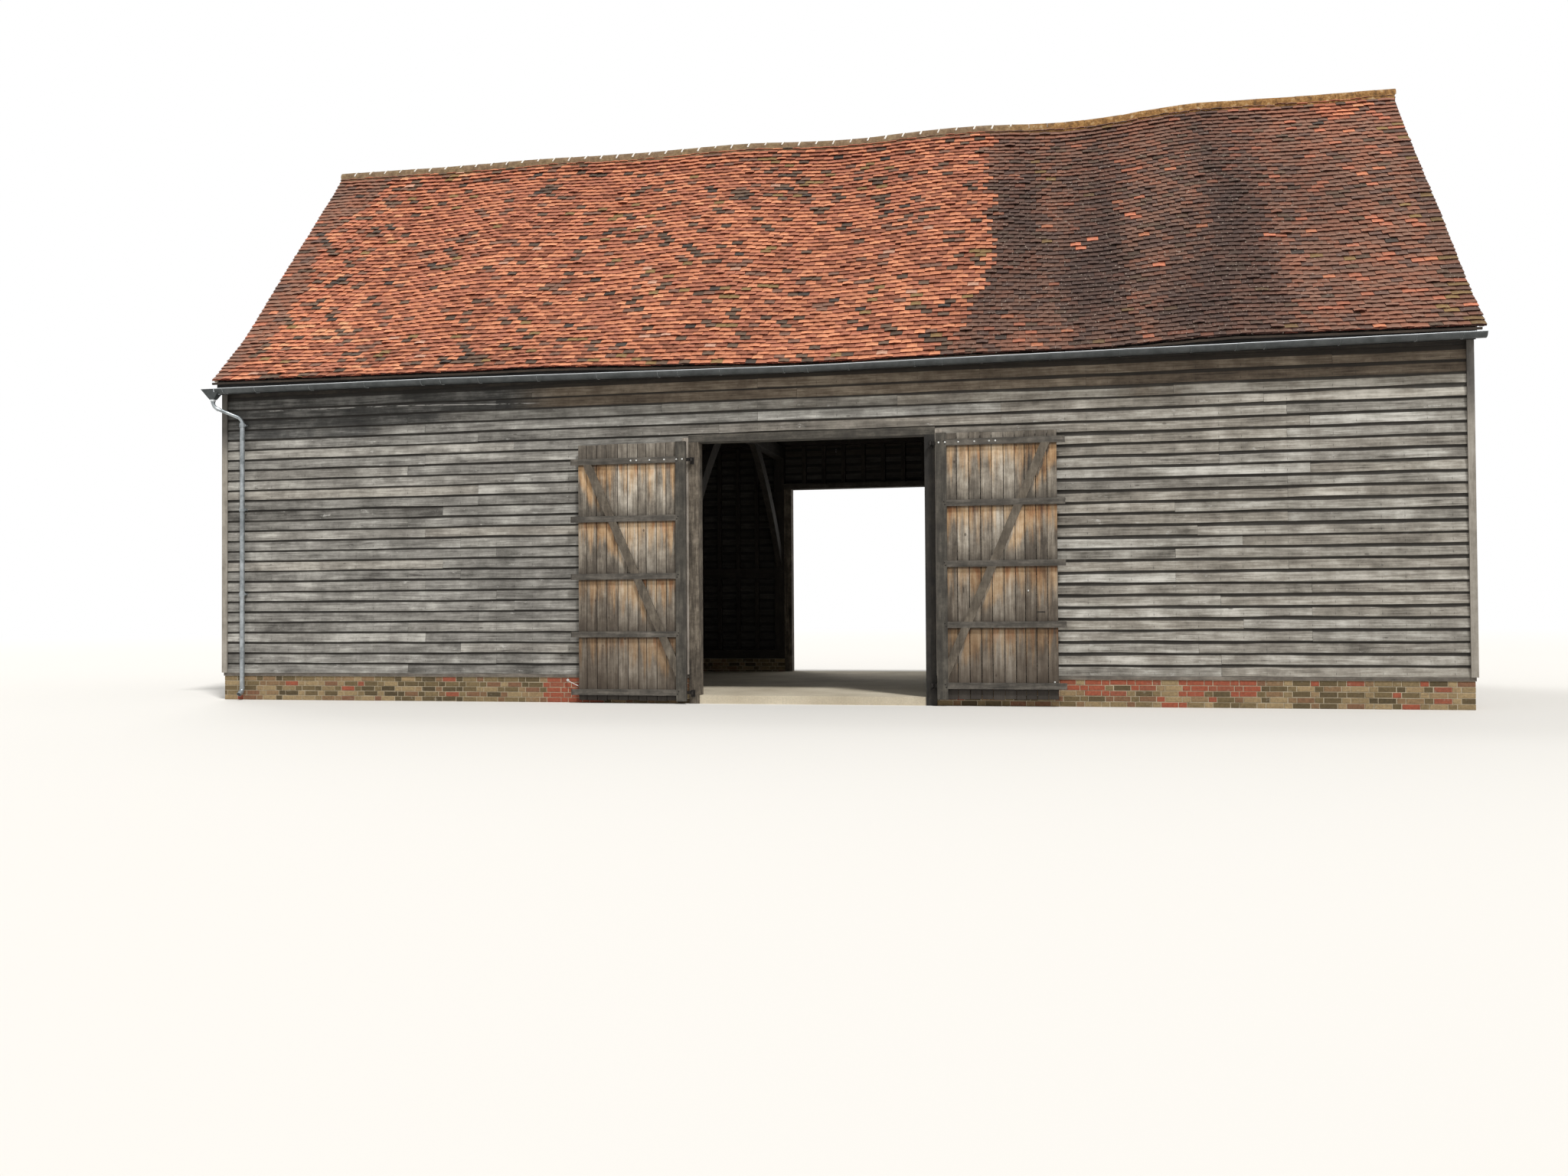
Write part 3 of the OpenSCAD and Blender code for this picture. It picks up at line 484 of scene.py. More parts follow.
def door_board_look(name, ledge_z, brace):
    """Boards that are still orange where ledges and the brace keep the weather off them, and grey lower
    down and on their outer face, with painted shadow under each ledge and painted shade at the foot
    and along the boards' edges. ledge_z is the lowest ledge's height, brace is (x, z, slope) of the
    line along the brace's middle, and a board's spot is its place across the board, 0, and 1 on the
    outer face."""
    look = Look(name, 0.8)
    grain, spot, height = look.attribute("grain"), look.attribute("spot"), look.place.axis("Z")
    value, streak, relief = wood_parts(grain, "Z", look.attribute("tone", "Fac"))
    value = value * 0.92 + grain.noise((31, 31, 1.2), 4, 0.62) * 0.26 - 0.09
    worn = value.ramp(
        (0.36, 60, 54, 46), (0.46, 114, 105, 93), (0.55, 160, 150, 135), (0.66, 212, 202, 186))
    fresh = value.ramp(
        (0.36, 122, 88, 58), (0.46, 176, 140, 100), (0.55, 206, 174, 136), (0.66, 236, 214, 184))
    rust = value.ramp((0.36, 120, 70, 38), (0.64, 206, 142, 88))

    # part runs from 0 at a ledge to 1 at the next one up
    top_z = ledge_z + 4 * LEDGE_RISE
    part = ((height - ledge_z) / LEDGE_RISE).fract()
    rusty = grain.noise((8, 8, 1.2), 4).step(0.50, 0.60)
    fresh = fresh.coat(rust, rusty * part.step(0.62, 0.93) * 0.85)
    ragged = grain.noise((11, 11, 0.7), 5) - 0.5
    brace_x, brace_z, slope = brace
    drop = (look.place.axis("X") - brace_x) * slope + brace_z - height
    by_brace = drop.step(0.05, 0.10) * drop.step(0.62, 0.22)
    reach = part + ragged * 2.2 + by_brace * 0.40
    gold = reach.step(0.42, 1.0) * part.step(0.06, 0.40)
    inner = 1.0 - spot.axis("Z")
    in_panel = height.step(top_z + 0.02, top_z - 0.04) * inner
    above_foot = height.step(ledge_z - 0.02, ledge_z + 0.05)

    # Orange wood, then grey above each ledge, over the top one, towards the foot, painted shadow under
    # each ledge and painted shade at the foot, then knots, painted shade at the boards' edges and
    # cracks
    colour = worn.coats(
        (fresh, gold * (in_panel * above_foot) * 0.94),
        ((60, 55, 48), (part + ragged).step(0.42, 0.0) * in_panel * 0.60),
        ((72, 65, 57), height.step(top_z, top_z + 0.05) * inner * 0.55),
        ((70, 56, 42), height.step(ledge_z + 3.6 * LEDGE_RISE, ledge_z) * 0.60),
        ((36, 27, 20), part.step(0.900, 0.935) * in_panel * 0.7),
        ((38, 33, 29), height.step(ledge_z, ledge_z - 0.04) * 0.85),
        ((56, 42, 32), grain.spots((6.5, 6.5, 4.5), 0.13, 0.16) * 0.7),
        ((38, 31, 26), abs(spot.axis("X")).step(0.90, 0.975) * 0.80),
        ((52, 43, 35), streak.step(0.35, 0.30) * 0.6))
    return look.finish(colour, relief, 0.35, 0.004)


def tile_look():
    """Handmade clay: the tile's own colour with painted shade on its tail and head, mottled, with pale
    flecks of lichen where it is old.
    """
    look = Look("clay_tile", 0.85)
    mottle, fine = look.place.noise(16, 5, 0.7), look.place.noise(130, 3, 0.6)
    # The tile's colour attribute also carries painted shade on its tail and on its head under the tile
    # above
    colour = look.attribute("tile_colour_and_shade", "Color")
    colour = colour.mottled(mottle, 0.80, 1.18).mottled(fine, 0.84, 1.14)
    fleck = look.place.stretch(1.6, 1.0, 1.0).noise(22, 3, 0.5).step(0.645, 0.68)
    colour = colour.coat((176, 160, 146), fleck * look.attribute("tile_colour_and_shade", "Alpha"))
    return look.finish(colour, mottle + fine, 0.35, 0.003)


def ridge_look():
    """Grey-brown ridge tiles with some olive on the left, and golden moss on the right."""
    look = Look("ridge_tile", 0.9)
    mottle, patch = look.place.noise(11, 7, 0.74), look.place.noise(1.4, 4)
    tan = mottle.ramp((0.30, 96, 76, 56), (0.5, 130, 106, 80), (0.70, 162, 140, 110))
    olive = mottle.ramp((0.30, 92, 78, 50), (0.5, 134, 114, 76), (0.70, 166, 148, 106))
    moss = mottle.ramp(
        (0.34, 84, 60, 34), (0.47, 140, 100, 52), (0.56, 170, 128, 74), (0.68, 198, 178, 146))
    colour = tan.coats(
        (olive, patch.step(0.46, 0.58) * 0.35),
        (moss, (look.place.axis("X") + patch * 2.4).step(4.0, 5.4)))
    return look.finish(colour, mottle, 0.8, 0.010)


def corner_board_look():
    """Limewashed grey low down, and darker under the eaves with painted eaves shade."""
    look = Look("corner_board", 0.85)
    value, streak, relief = wood_parts(look.place, "Z")
    pale = value.ramp((0.34, 112, 106, 96), (0.5, 156, 149, 138), (0.68, 184, 178, 168))
    dark = value.ramp((0.34, 60, 57, 53), (0.5, 88, 84, 79), (0.68, 112, 107, 100))
    # Painted shade: darker from about 3.9 m up, in the shade of the eaves
    high = (look.place.axis("Z") + streak * 0.5).step(3.9, 4.5)
    return look.finish(pale.coat(dark, high), relief, 0.4, 0.004)


def post_look():
    """Doorposts: brown-grey oak with dark shakes, and the right one at the front nearly black."""
    look = Look("door_post", 0.85)
    value, streak, relief = wood_parts(look.place, "Z")
    pale = value.ramp((0.38, 40, 34, 28), (0.5, 92, 83, 71), (0.62, 150, 138, 122))
    dark = value.ramp((0.37, 20, 18, 16), (0.5, 38, 35, 31), (0.64, 66, 61, 54))
    front, right = look.place.axis("Y").step(0.5, -0.5), look.place.axis("X").step(0.5, 1.0)
    colour = pale.coats((dark, front * right), ((30, 26, 22), streak.step(0.38, 0.33) * 0.7))
    return look.finish(colour, relief, 0.5, 0.005)


def mortar_look(name, dark, light):
    look = Look(name, 0.92)
    grit, patch = look.place.noise(60, 5, 0.7), look.place.noise(3, 4, 0.6)
    colour = (grit * 0.45 + patch * 0.55).ramp((0.35, *dark), (0.65, *light))
    return look.finish(colour, grit, 0.6, 0.003)


def brick_look():
    """Olive-brown stocks, with red ones from a later repair chosen by the tone."""
    look = Look("brick", 0.9)
    colour = look.attribute("tone", "Fac").ramp(
        (0.0, 78, 66, 44), (0.25, 114, 97, 66), (0.45, 160, 138, 102), (0.62, 124, 94, 66),
        (0.76, 128, 86, 66), (0.92, 154, 82, 58))
    mottle = look.place.noise(28, 6, 0.75)
    salt = look.place.noise(11, 4, 0.6).step(0.60, 0.72)
    colour = colour.mottled(mottle, 0.62, 1.3).coat((150, 142, 124), salt * 0.5)
    return look.finish(colour, mottle, 0.5, 0.004)


def concrete_look():
    look = Look("concrete", 0.9)
    patch, grit = look.place.noise(0.9, 6, 0.65), look.place.noise(40, 4, 0.7)
    colour = patch.ramp((0.3, 182, 169, 145), (0.7, 220, 209, 186)).mottled(grit, 0.85, 1.08)
    return look.finish(colour, grit, 0.4, 0.003)


def metal_look(name, dark, light, metallic, low_rough, high_rough, scale, sky_sheen=None):
    """Metal with a spangle or a skin of rust, rougher where it is darker. The last argument is the
    colour of a painted highlight on faces that don't look down, where they catch the sky."""
    look = Look(name, 0.5, metallic)
    patch = look.place.noise(scale, 5, 0.65)
    colour = patch.ramp((0.35, *dark), (0.65, *light))
    if sky_sheen:
        # Painted highlight on faces that don't look down
        colour = colour.coat(sky_sheen, look.normal().axis("Z").step(-0.24, -0.04))
    return look.finish(colour, patch, 0.15, 0.002, Roughness=patch.greys(high_rough, low_rough))


TILE, RIDGE, WEATHERBOARD, BRICK = tile_look(), ridge_look(), weatherboard_look(), brick_look()
ROOF_MORTAR = mortar_look("roof_mortar", (120, 108, 90), (176, 164, 142))
WHITE_MORTAR = mortar_look("white_mortar", (222, 217, 207), (250, 247, 240))
WALL_MORTAR = mortar_look("wall_mortar", (150, 138, 116), (196, 182, 156))
UNDERLAY = mortar_look("underlay", (30, 28, 27), (48, 45, 42))
FILLET = wood("fillet_oak", "X")
# The gutters get a pale painted highlight along their upper faces
ZINC = metal_look("galvanised_steel", (60, 64, 65), (82, 86, 87), 0.25, 0.40, 0.6, 5, (222, 226, 228))
BRIGHT_ZINC = metal_look("bright_zinc", (128, 134, 137), (176, 182, 185), 0.6, 0.30, 0.45, 9)
IRON = metal_look("black_iron", (26, 25, 24), (52, 47, 43), 0.5, 0.45, 0.8, 30)
PALE_METAL = metal_look("pale_metal", (190, 190, 186), (232, 232, 228), 0.2, 0.35, 0.5, 20)


# Roof

# The frames along the barn, and how far the roof sinks between them in metres
TRUSS_XS = np.unique(np.round(corners("tie_beams")[:, 0], 3)).reshape(-1, 2).mean(axis=1)
BAY_SLACK = np.array((0.042, 0.026, 0.034, 0.040, 0.022))
TRUSS_PROUD = 0.012
# How far the top courses are bedded up towards the ridge tiles, and over what length
RIDGE_LIFT, RIDGE_LIFT_SPAN = 0.058, 0.75
# The length over which a slope turns at its kick
KICK_TURN = 0.5
# How far along a white joint of the ridge slants for each metre up
JOINT_SLANT = 0.34


def top_line(co):
    """The highest point at each x, as xs and zs."""
    keys = np.round(co[:, 0], 3)
    xs = np.unique(keys)
    return xs, np.array([co[keys == x, 2].max() for x in xs])


class Slope:
    """The top surface of a tiled slope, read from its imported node. side is -1 at the front."""

    def __init__(self, node, side):
        co = corners(node)
        co[:, 1] = np.abs(co[:, 1])
        self.side = side
        self.eave_y = co[:, 1].max()
        inner = co[(co[:, 1] > 0.2) & (co[:, 1] < self.eave_y - 0.1)]
        self.kick_y = np.median(inner[:, 1])
        self.lines = [
            top_line(co[np.abs(co[:, 1] - y) < 0.002]) for y in (self.eave_y, self.kick_y, 0.0)
        ]
        self.x0, self.x1 = co[:, 0].min(), co[:, 0].max()
        low, high = self.lengths(self.x0)
        self.length = float(low + high)

    def slack(self, x, d):
        """How far the old roof has sunk between its trusses, or stands proud over them."""
        bay = np.clip(np.searchsorted(TRUSS_XS, x) - 1, 0, len(TRUSS_XS) - 2)
        part = (np.asarray(x) - TRUSS_XS[bay]) / (TRUSS_XS[bay + 1] - TRUSS_XS[bay])
        sunk = BAY_SLACK[bay] * np.sin(np.pi * np.clip(part, 0, 1)) ** 2
        return (TRUSS_PROUD - sunk) * np.sin(np.pi * np.clip(d / self.length, 0, 1))

    def crest_lift(self, d):
        return RIDGE_LIFT * np.clip((d - self.length) / RIDGE_LIFT_SPAN + 1, 0, 1) ** 2

    def heights(self, x):
        return [np.interp(x, xs, zs) for xs, zs in self.lines]

    def lengths(self, x):
        eave, kick, top = self.heights(x)
        return np.hypot(self.eave_y - self.kick_y, kick - eave), np.hypot(self.kick_y, top - kick)

    def at(self, x, d, out=0.0):
        """Points at x, a distance d up the slope from the eaves, and out metres above it."""
        x, d = np.broadcast_arrays(np.asarray(x, float), np.asarray(d, float))
        eave, kick, top = self.heights(x)
        low, high = self.lengths(x)
        d = d * (low + high) / self.length
        s, t = d / low, (d - low) / high
        first = d < low
        y = np.where(first, self.eave_y + (self.kick_y - self.eave_y) * s, self.kick_y * (1 - t))
        z = np.where(first, eave + (kick - eave) * s, kick + (top - kick) * t)
        turn = np.clip((d - low) / KICK_TURN + 0.5, 0, 1)
        lean_y = (kick - eave) / low * (1 - turn) + (top - kick) / high * turn
        lean_z = (self.eave_y - self.kick_y) / low * (1 - turn) + self.kick_y / high * turn
        size = np.hypot(lean_y, lean_z)
        y, z = y + out * lean_y / size, z + out * lean_z / size
        return np.stack([x, self.side * y, z], -1)


# A tile's faces: its bed, sides and head, then the two halves of its tail and of its top. Its
# points are three along the tail's top, three under them, and the same six at the head.
TILE_FACES = (
    (3, 4, 10, 9), (4, 5, 11, 10), (0, 3, 9, 6), (2, 5, 11, 8), (6, 7, 10, 9), (7, 8, 11, 10),
    (0, 1, 4, 3), (1, 2, 5, 4), (0, 1, 7, 6), (1, 2, 8, 7))
TILE_POINTS, TILE_HEAD, TILE_TAIL = 12, 6, (6, 7)

# How far the right verge leans out from the CAD's, by the distance from the ridge's line, and
# the length of the tiles' courses that takes it up
VERGE_LEAN = ((0.0, -0.044), (1.2, -0.010), (2.0, 0.030), (3.0, 0.050))
VERGE_SPAN = 1.5

CLAY = {
    "bright": (242, 164, 122), "salmon": (222, 146, 108), "mid": (200, 128, 98),
    "rust": (170, 106, 78), "tawny": (158, 109, 86), "brown": (146, 109, 90),
    "umber": (116, 90, 78), "grey": (118, 96, 78), "dark": (96, 78, 63), "black": (74, 64, 56),
    "olive": (156, 128, 82), "pale": (222, 174, 148), "orange": (224, 142, 108),
    "soot": (76, 58, 50),
}
CLAY = {name: np.array(srgb(*rgb)[:3]) for name, rgb in CLAY.items()}
# Painted shade: how much darker a tile's tail and its head under the tile above are than its top: red,
# green and blue
TAIL_SHADE, HEAD_SHADE = (0.20, 0.065, 0.03), (0.50, 0.34, 0.26)

# Shares of the clay's colours by its age
NEW_CLAY = {"bright": 17, "salmon": 33, "mid": 30, "rust": 16, "pale": 0.6, "brown": 4}
WORN_CLAY = {"bright": 5, "salmon": 17, "mid": 28, "rust": 30, "brown": 16, "grey": 4}
FADED_CLAY = {"salmon": 1, "mid": 6, "tawny": 45, "brown": 40, "umber": 8}
OLD_CLAY = {"salmon": 0.8, "mid": 1.5, "tawny": 15, "brown": 46, "umber": 30, "grey": 6}
DIM_CLAY = {"grey": 44, "dark": 40, "black": 16}
# How light the clay is, as (age, light)
AGE_LIGHT = (
    (0.20, 1.0), (0.28, 1.12), (0.40, 1.22), (0.50, 1.18), (0.70, 1.00), (0.90, 0.82), (1.0, 0.80))
# The edge between the re-laid tiles and the old ones, as (height, place along the front)
RELAID_EDGE = (
    (5.0, 2.31), (5.31, 2.54), (5.65, 2.52), (6.12, 2.77), (6.80, 3.01), (7.30, 2.97),
    (7.92, 2.83), (9.0, 2.80))
# Ages along the front: of the old tiles, and of the worn left end, as (place, age)
OLD_AGES = ((2.3, 0.74), (3.4, 0.90), (6.2, 1.00), (7.2, 0.70), (8.3, 0.56), (8.9, 0.64), (9.1, 0.90))
LEFT_AGES = ((-9.2, 0.50), (-8.6, 0.29), (-6.5, 0.20), (-4.5, 0.13), (-2.0, 0.07))
# Bright tiles put in later among the old ones, as (place along the front, height)
LATER_TILES = (
    (4.10, 6.86), (4.34, 6.90), (4.22, 6.80), (5.00, 7.37), (6.83, 6.70), (8.30, 6.88),
    (9.05, 5.26), (5.3, 6.3))


def between(x, table):
    """A value read from a table of (x, value)."""
    return np.interp(x, *np.array(table).T)


def clay_colours(random, x, d, slope, seed, old):
    """Colours of the tiles at x and d, with their heights and how lichened they are. old(x, d, z)
    runs from 0 for bright new clay through 0.5 for worn clay to 1 for brown clay under soot."""
    count = len(x)

    def pick(shares):
        """A random colour for each tile."""
        weights = np.array(list(shares.values()), float)
        colours = np.array([CLAY[name] for name in shares])
        return colours[random.choice(len(shares), count, p=weights / weights.sum())]

    z = slope.at(x, d)[:, 2]
    share = np.clip(old(x, d, z), 0, 1)
    level = share + random.uniform(-0.22, 0.22, count)
    colour = np.where((level < 0.3)[:, None], pick(NEW_CLAY), pick(WORN_CLAY))
    colour = np.where((share > 0.34)[:, None], pick(FADED_CLAY), colour)
    colour = np.where((level > 0.74)[:, None], pick(OLD_CLAY), colour)
    clump = field(seed + 1, 0.19, 0.21)(x + 0.7 * d, d) * 0.62 + random.normal(0, 0.36, count)
    dark = clump + 0.14 * field(seed + 2, 1.5, 1.1)(x, d) > 0.58 + 0.4 * share
    colour = np.where(dark[:, None], pick(DIM_CLAY), colour)
    moss = 0.09 * field(seed + 3, 1.1, 0.4)(x, d) * (1 - share)
    moss += 0.5 * np.clip(x - slope.x1 + 0.5, 0, 0.5)
    mossy = random.uniform(size=count) < np.clip(moss, 0.003, 1)
    colour = np.where(mossy[:, None], CLAY["olive"], colour)
    light = 1 + 0.10 * field(seed + 4, 2.6, 1.7)(x, d) + random.normal(0, 0.06, count)
    colour = colour * light[:, None]
    streak = field(seed + 5, 0.42, 3.6)(x, d) * 0.85 + field(seed + 6, 1.1, 1.8)(x, d) * 0.45
    soot = np.clip(1.6 * (share - 0.40), 0, 1) * np.clip(0.66 + 0.80 * streak, 0, 0.94)
    colour = colour * (1 - soot[:, None]) + CLAY["soot"] * soot[:, None]
    colour = colour * between(share, AGE_LIGHT)[:, None]
    return np.clip(colour, 0.01, 0.9), z, 0.75 * np.clip(1.4 * share - 0.2, 0.1, 1)


def front_age(x, d, z):
    """Old tiles lie right of a wavering edge, darkest in their middle, and the left end is worn."""
    edge = between(z, RELAID_EDGE) + 0.16 * field(77, 0.4, 0.16)(x, d)
    high = np.clip((z - 7.6) / 1.6, 0, 1)
    core = between(x, OLD_AGES) - 0.27 * high - 0.14 * np.clip((5.9 - z) / 0.8, 0, 1)
    left = between(x, LEFT_AGES) + 0.06 * high + 0.08 * field(78, 1.8, 1.0)(x, d)
    return np.where(x > edge, core, left)


def back_age(x, d, z):
    """The back slope is weathered in broad patches."""
    return np.clip(0.42 + 0.5 * field(88, 2.4, 3.2)(x, d), 0.05, 0.9)


def lean_verge(slope, x, d):
    """x moved so that the right verge leans as the old one does, over the last tiles only."""
    lean = between(np.abs(slope.at(x, d)[..., 1]), VERGE_LEAN)
    return x + lean * np.clip((x - slope.x1) / VERGE_SPAN + 1, 0, 1)


def tiles(name, node, side, seed, age):
    """Plain tiles laid in courses on one slope, with broken joints and tile-and-a-half ends."""
    random = np.random.default_rng(seed)
    slope = Slope(node, side)
    gauge = slope.length / (COURSES + 0.35)
    whole = int((slope.x1 - slope.x0) / TILE_W)
    width = (slope.x1 - slope.x0) / whole
    edges = []
    for course in range(-1, COURSES):
        joints = np.arange(whole + 1) * width
        if course % 2:
            joints = np.concatenate([[0], np.arange(1, whole - 1) * width + width / 2, [whole * width]])
        wobble = random.uniform(-0.011, 0.011, len(joints))
        wobble[[0, -1]] = random.uniform(-0.006, 0.004), random.uniform(-0.004, 0.006)
        joints = slope.x0 + joints + wobble
        foot = max(course, 0) * gauge
        edges += [(a, b, foot, course) for a, b in zip(joints[:-1], joints[1:])]
    x0, x1, foot, course = np.array(edges).T
    count = len(x0)
    middle = (x0 + x1) / 2

    def waver(shift, cell_x, cell_y):
        return field(seed + shift, cell_x, cell_y)(middle, foot)

    rise = slope.slack(middle, foot) + slope.crest_lift(foot)
    rise += waver(11, 1.1, 0.8) * 0.005
    rise += waver(12, 0.45, 0.35) * 0.003
    drift = waver(13, 1.3, 0.7) * 0.018 + waver(14, 0.38, 0.14) * 0.010
    drift += slope.slack(middle, foot) * 3.0
    drift[course <= 0] *= 0.35
    lift = random.gamma(1.3, 0.0032, count)
    slip = random.normal(0, 0.0060, count)
    turn = random.normal(0, 0.034, count)
    camber = random.uniform(0.001, 0.0100, count)
    gap = random.uniform(0.001, 0.003, count)
    tilt = (TILE_T + 0.001) / gauge
    reach = gauge + TILE_LAP
    step_back = np.where(course < 0, -TILE_T, 0)
    points, flat = np.zeros((count, TILE_POINTS, 3)), np.zeros((count, TILE_POINTS, 2))
    for row in (0, 1):
        for col in (0, 1, 2):
            x = x0 + gap + (x1 - x0 - 2 * gap) * col / 2
            d = foot + row * reach + drift + slip + turn * (x - middle)
            d = np.minimum(d, slope.length - 0.012)
            top = 0.004 + rise + step_back + lift * (1 - row) - tilt * reach * row
            top = top + np.where(col == 1, camber, 0)
            for layer in (0, 1):
                at = row * TILE_HEAD + layer * 3 + col
                points[:, at] = slope.at(lean_verge(slope, x, d), d, top - layer * TILE_T)
                up = TAIL_SHARE + (1 - TAIL_SHARE) * row * reach / gauge + 0.02 * layer * row
                flat[:, at, 0] = x + (col - 1) * layer * 0.002
                flat[:, at, 1] = course + up * (row or 1 - layer)
    mesh = bpy.data.meshes.new(name)
    faces = (np.arange(count) * TILE_POINTS)[:, None, None] + np.array(TILE_FACES)[None]
    mesh.from_pydata(points.reshape(-1, 3).tolist(), [], faces.reshape(-1, 4).tolist())
    outward(mesh)
    set_map(mesh, flat.reshape(-1, 2))
    colour, z, old = clay_colours(random, middle, foot, slope, seed, age)
    if side < 0:
        for later_x, later_z in LATER_TILES:
            colour[np.argmin(np.hypot(middle - later_x, z - later_z))] = CLAY["orange"]
    # Painted shade: each tile's tail and its head under the tile above are darker than its top
    at = corner_points(mesh)
    kind = np.arange(len(at)) // 4 % len(TILE_FACES)
    shade = np.where((at % TILE_POINTS >= TILE_HEAD)[:, None], HEAD_SHADE, 1.0)
    shade[np.isin(kind, TILE_TAIL)] = TAIL_SHADE
    own = at // TILE_POINTS
    rgba = np.concatenate([colour[own] * shade, old[own, None]], axis=1)
    set_values(mesh, "tile_colour_and_shade", "FLOAT_COLOR", "color", rgba, "CORNER")
    piece(name, mesh, TILE, replaces=[node])
    return slope


def underlay(name, slope):
    """The dark sheet under the battens, which shows from inside."""
    thick, under, inset = 0.004, 0.068, 0.045
    gather = Gather(5)
    xs = slope.lines[0][0]
    xs = xs[(xs > slope.x0) & (xs < slope.x1)]
    low, _ = slope.lengths(slope.x0)
    ds = np.array([0.05, float(low), slope.length - 0.02])
    rings = []
    for x in [slope.x0 + inset, *xs, slope.x1 - inset]:
        lower, upper = slope.at(x, ds, -under), slope.at(x, ds, thick - under)
        rings.append(np.concatenate([lower, upper[::-1]]))
    gather.loft(rings)
    piece(name, gather, UNDERLAY)


def eaves_fillet(name, slope):
    """The brown board that tilts the lowest course, in the thickness of the covering."""
    gather = Gather(7)
    xs, tops = slope.lines[0]
    apart = np.diff(xs, prepend=xs[0] - 1) > 0.01
    section = ((0.006, 0.038), (0.006, 0.069), (0.034, 0.069), (0.034, 0.050))
    rings = [
        [(x, slope.side * (slope.eave_y - inner), top - down) for inner, down in section]
        for x, top in zip(xs[apart], tops[apart])
    ]
    gather.loft(rings, tone=0.5)
    piece(name, gather, FILLET)


def verge_mortar(slopes):
    """Mortar pointed under the tiles along both gables."""
    deep, wide, inset, down = 0.045, 0.070, 0.008, 0.016
    for name, end in (("left_verge_mortar", -1), ("right_verge_mortar", 1)):
        gather = Gather(6)
        for slope in slopes:
            edge = slope.x1 if end > 0 else slope.x0
            rings = []
            for d in np.linspace(0.03, slope.length - 0.03, 60):
                sway = gather.random.uniform(-0.003, 0.003, 2)
                outer, inner = edge - end * (inset + sway[0]), edge - end * wide
                upper = lean_verge(slope, np.array([inner, outer]), d)
                lower = lean_verge(slope, np.array([outer - end * 0.006, inner]), d)
                rise = slope.slack(edge, d) + slope.crest_lift(d)
                rings.append(np.concatenate([
                    slope.at(upper, d, rise - down), slope.at(lower, d, -down - deep + sway[1])]))
            gather.loft(rings)
        piece(name, gather, ROOF_MORTAR)


def arch(radius, first=-8, last=188):
    """Points (y, z) along a round arch between two angles in degrees."""
    angles = np.radians(np.linspace(first, last, 15))
    return [(radius * math.cos(a), radius * math.sin(a)) for a in angles]


def ridge():
    """Half-round ridge tiles, their joints pointed white along the crest, and mortar in both ends."""
    xs, tops = top_line(corners("ridge_tiles"))
    x0, x1 = xs[0], xs[-1]
    count = round((x1 - x0) / RIDGE_TILE)
    length = (x1 - x0) / count
    shells, joints, ends = Gather(21), Gather(22), Gather(24)

    def centre(x):
        return np.interp(x, xs, tops) - RIDGE_R - RIDGE_ROOM

    def ring(x, up, section, slant=0.0):
        return [(x + slant * z, y, up + z) for y, z in section]

    tile = arch(RIDGE_R) + arch(RIDGE_R - RIDGE_T)[::-1]
    for k in range(count):
        a, b = x0 + k * length, x0 + (k + 1) * length
        jolt = shells.random.normal(0, 0.0022, 2)
        shells.loft([ring(a, centre(a) + jolt[0], tile), ring(b - 0.004, centre(b) + jolt[1], tile)])
        if k and a < LAST_WHITE_JOINT:
            wide = joints.random.uniform(0.011, 0.016)
            proud = joints.random.uniform(0.003, 0.0038)
            low = joints.random.uniform(2, 22)
            band = arch(RIDGE_R + proud, low, 180 - low) + arch(RIDGE_R - 0.03, low, 180 - low)[::-1]
            joints.loft([
                ring(a - 0.02 + half, centre(a), band, JOINT_SLANT) for half in (-wide, wide)])
    for a, b in ((x0 + 0.006, x0 + 0.08), (x1 - 0.08, x1 - 0.010)):
        ends.loft([ring(x, centre(x), arch(RIDGE_R - RIDGE_T / 2)) for x in (a, b)])
    piece("ridge_shells", shells, RIDGE, replaces=["ridge_tiles"], smooth=True)
    piece("ridge_end_mortar", ends, ROOF_MORTAR)
    piece("ridge_joints", joints, WHITE_MORTAR, smooth=True)


def ridge_bedding(slopes):
    """Mortar from the edge of the ridge tiles down to the top course."""
    gather = Gather(23)
    xs, tops = top_line(corners("ridge_tiles"))
    for slope in slopes:
        rings = []
        for x in np.arange(slope.x0 + 0.01, slope.x1 - 0.005, 0.06):
            centre = np.interp(x, xs, tops) - RIDGE_R - RIDGE_ROOM
            _, kick, top = slope.heights(x)
            fall = (top - kick) / slope.kick_y
            wide, sag = gather.random.uniform(-0.006, 0.006, 2)
            foot = RIDGE_R + 0.008 + wide
            section = [
                (RIDGE_R - 0.002, centre + 0.004), (RIDGE_R + 0.003, centre - 0.014 + sag),
                (foot, top - foot * fall + 0.050), (foot, top - foot * fall - 0.02),
                (RIDGE_R - 0.05, top - (RIDGE_R - 0.05) * fall - 0.02), (RIDGE_R - 0.03, centre)]
            rings.append([(x, slope.side * y, z) for y, z in section])
        gather.loft(rings)
    piece("ridge_bedding", gather, RIDGE)


front_slope = tiles("front_tiles", "front_roof", -1, 101, front_age)
back_slope = tiles("back_tiles", "back_roof", 1, 202, back_age)
underlay("front_underlay", front_slope)
underlay("back_underlay", back_slope)
eaves_fillet("front_eaves_fillet", front_slope)
eaves_fillet("back_eaves_fillet", back_slope)
verge_mortar([front_slope, back_slope])
ridge()
ridge_bedding([front_slope, back_slope])


# Weatherboarding

STATION = 0.35


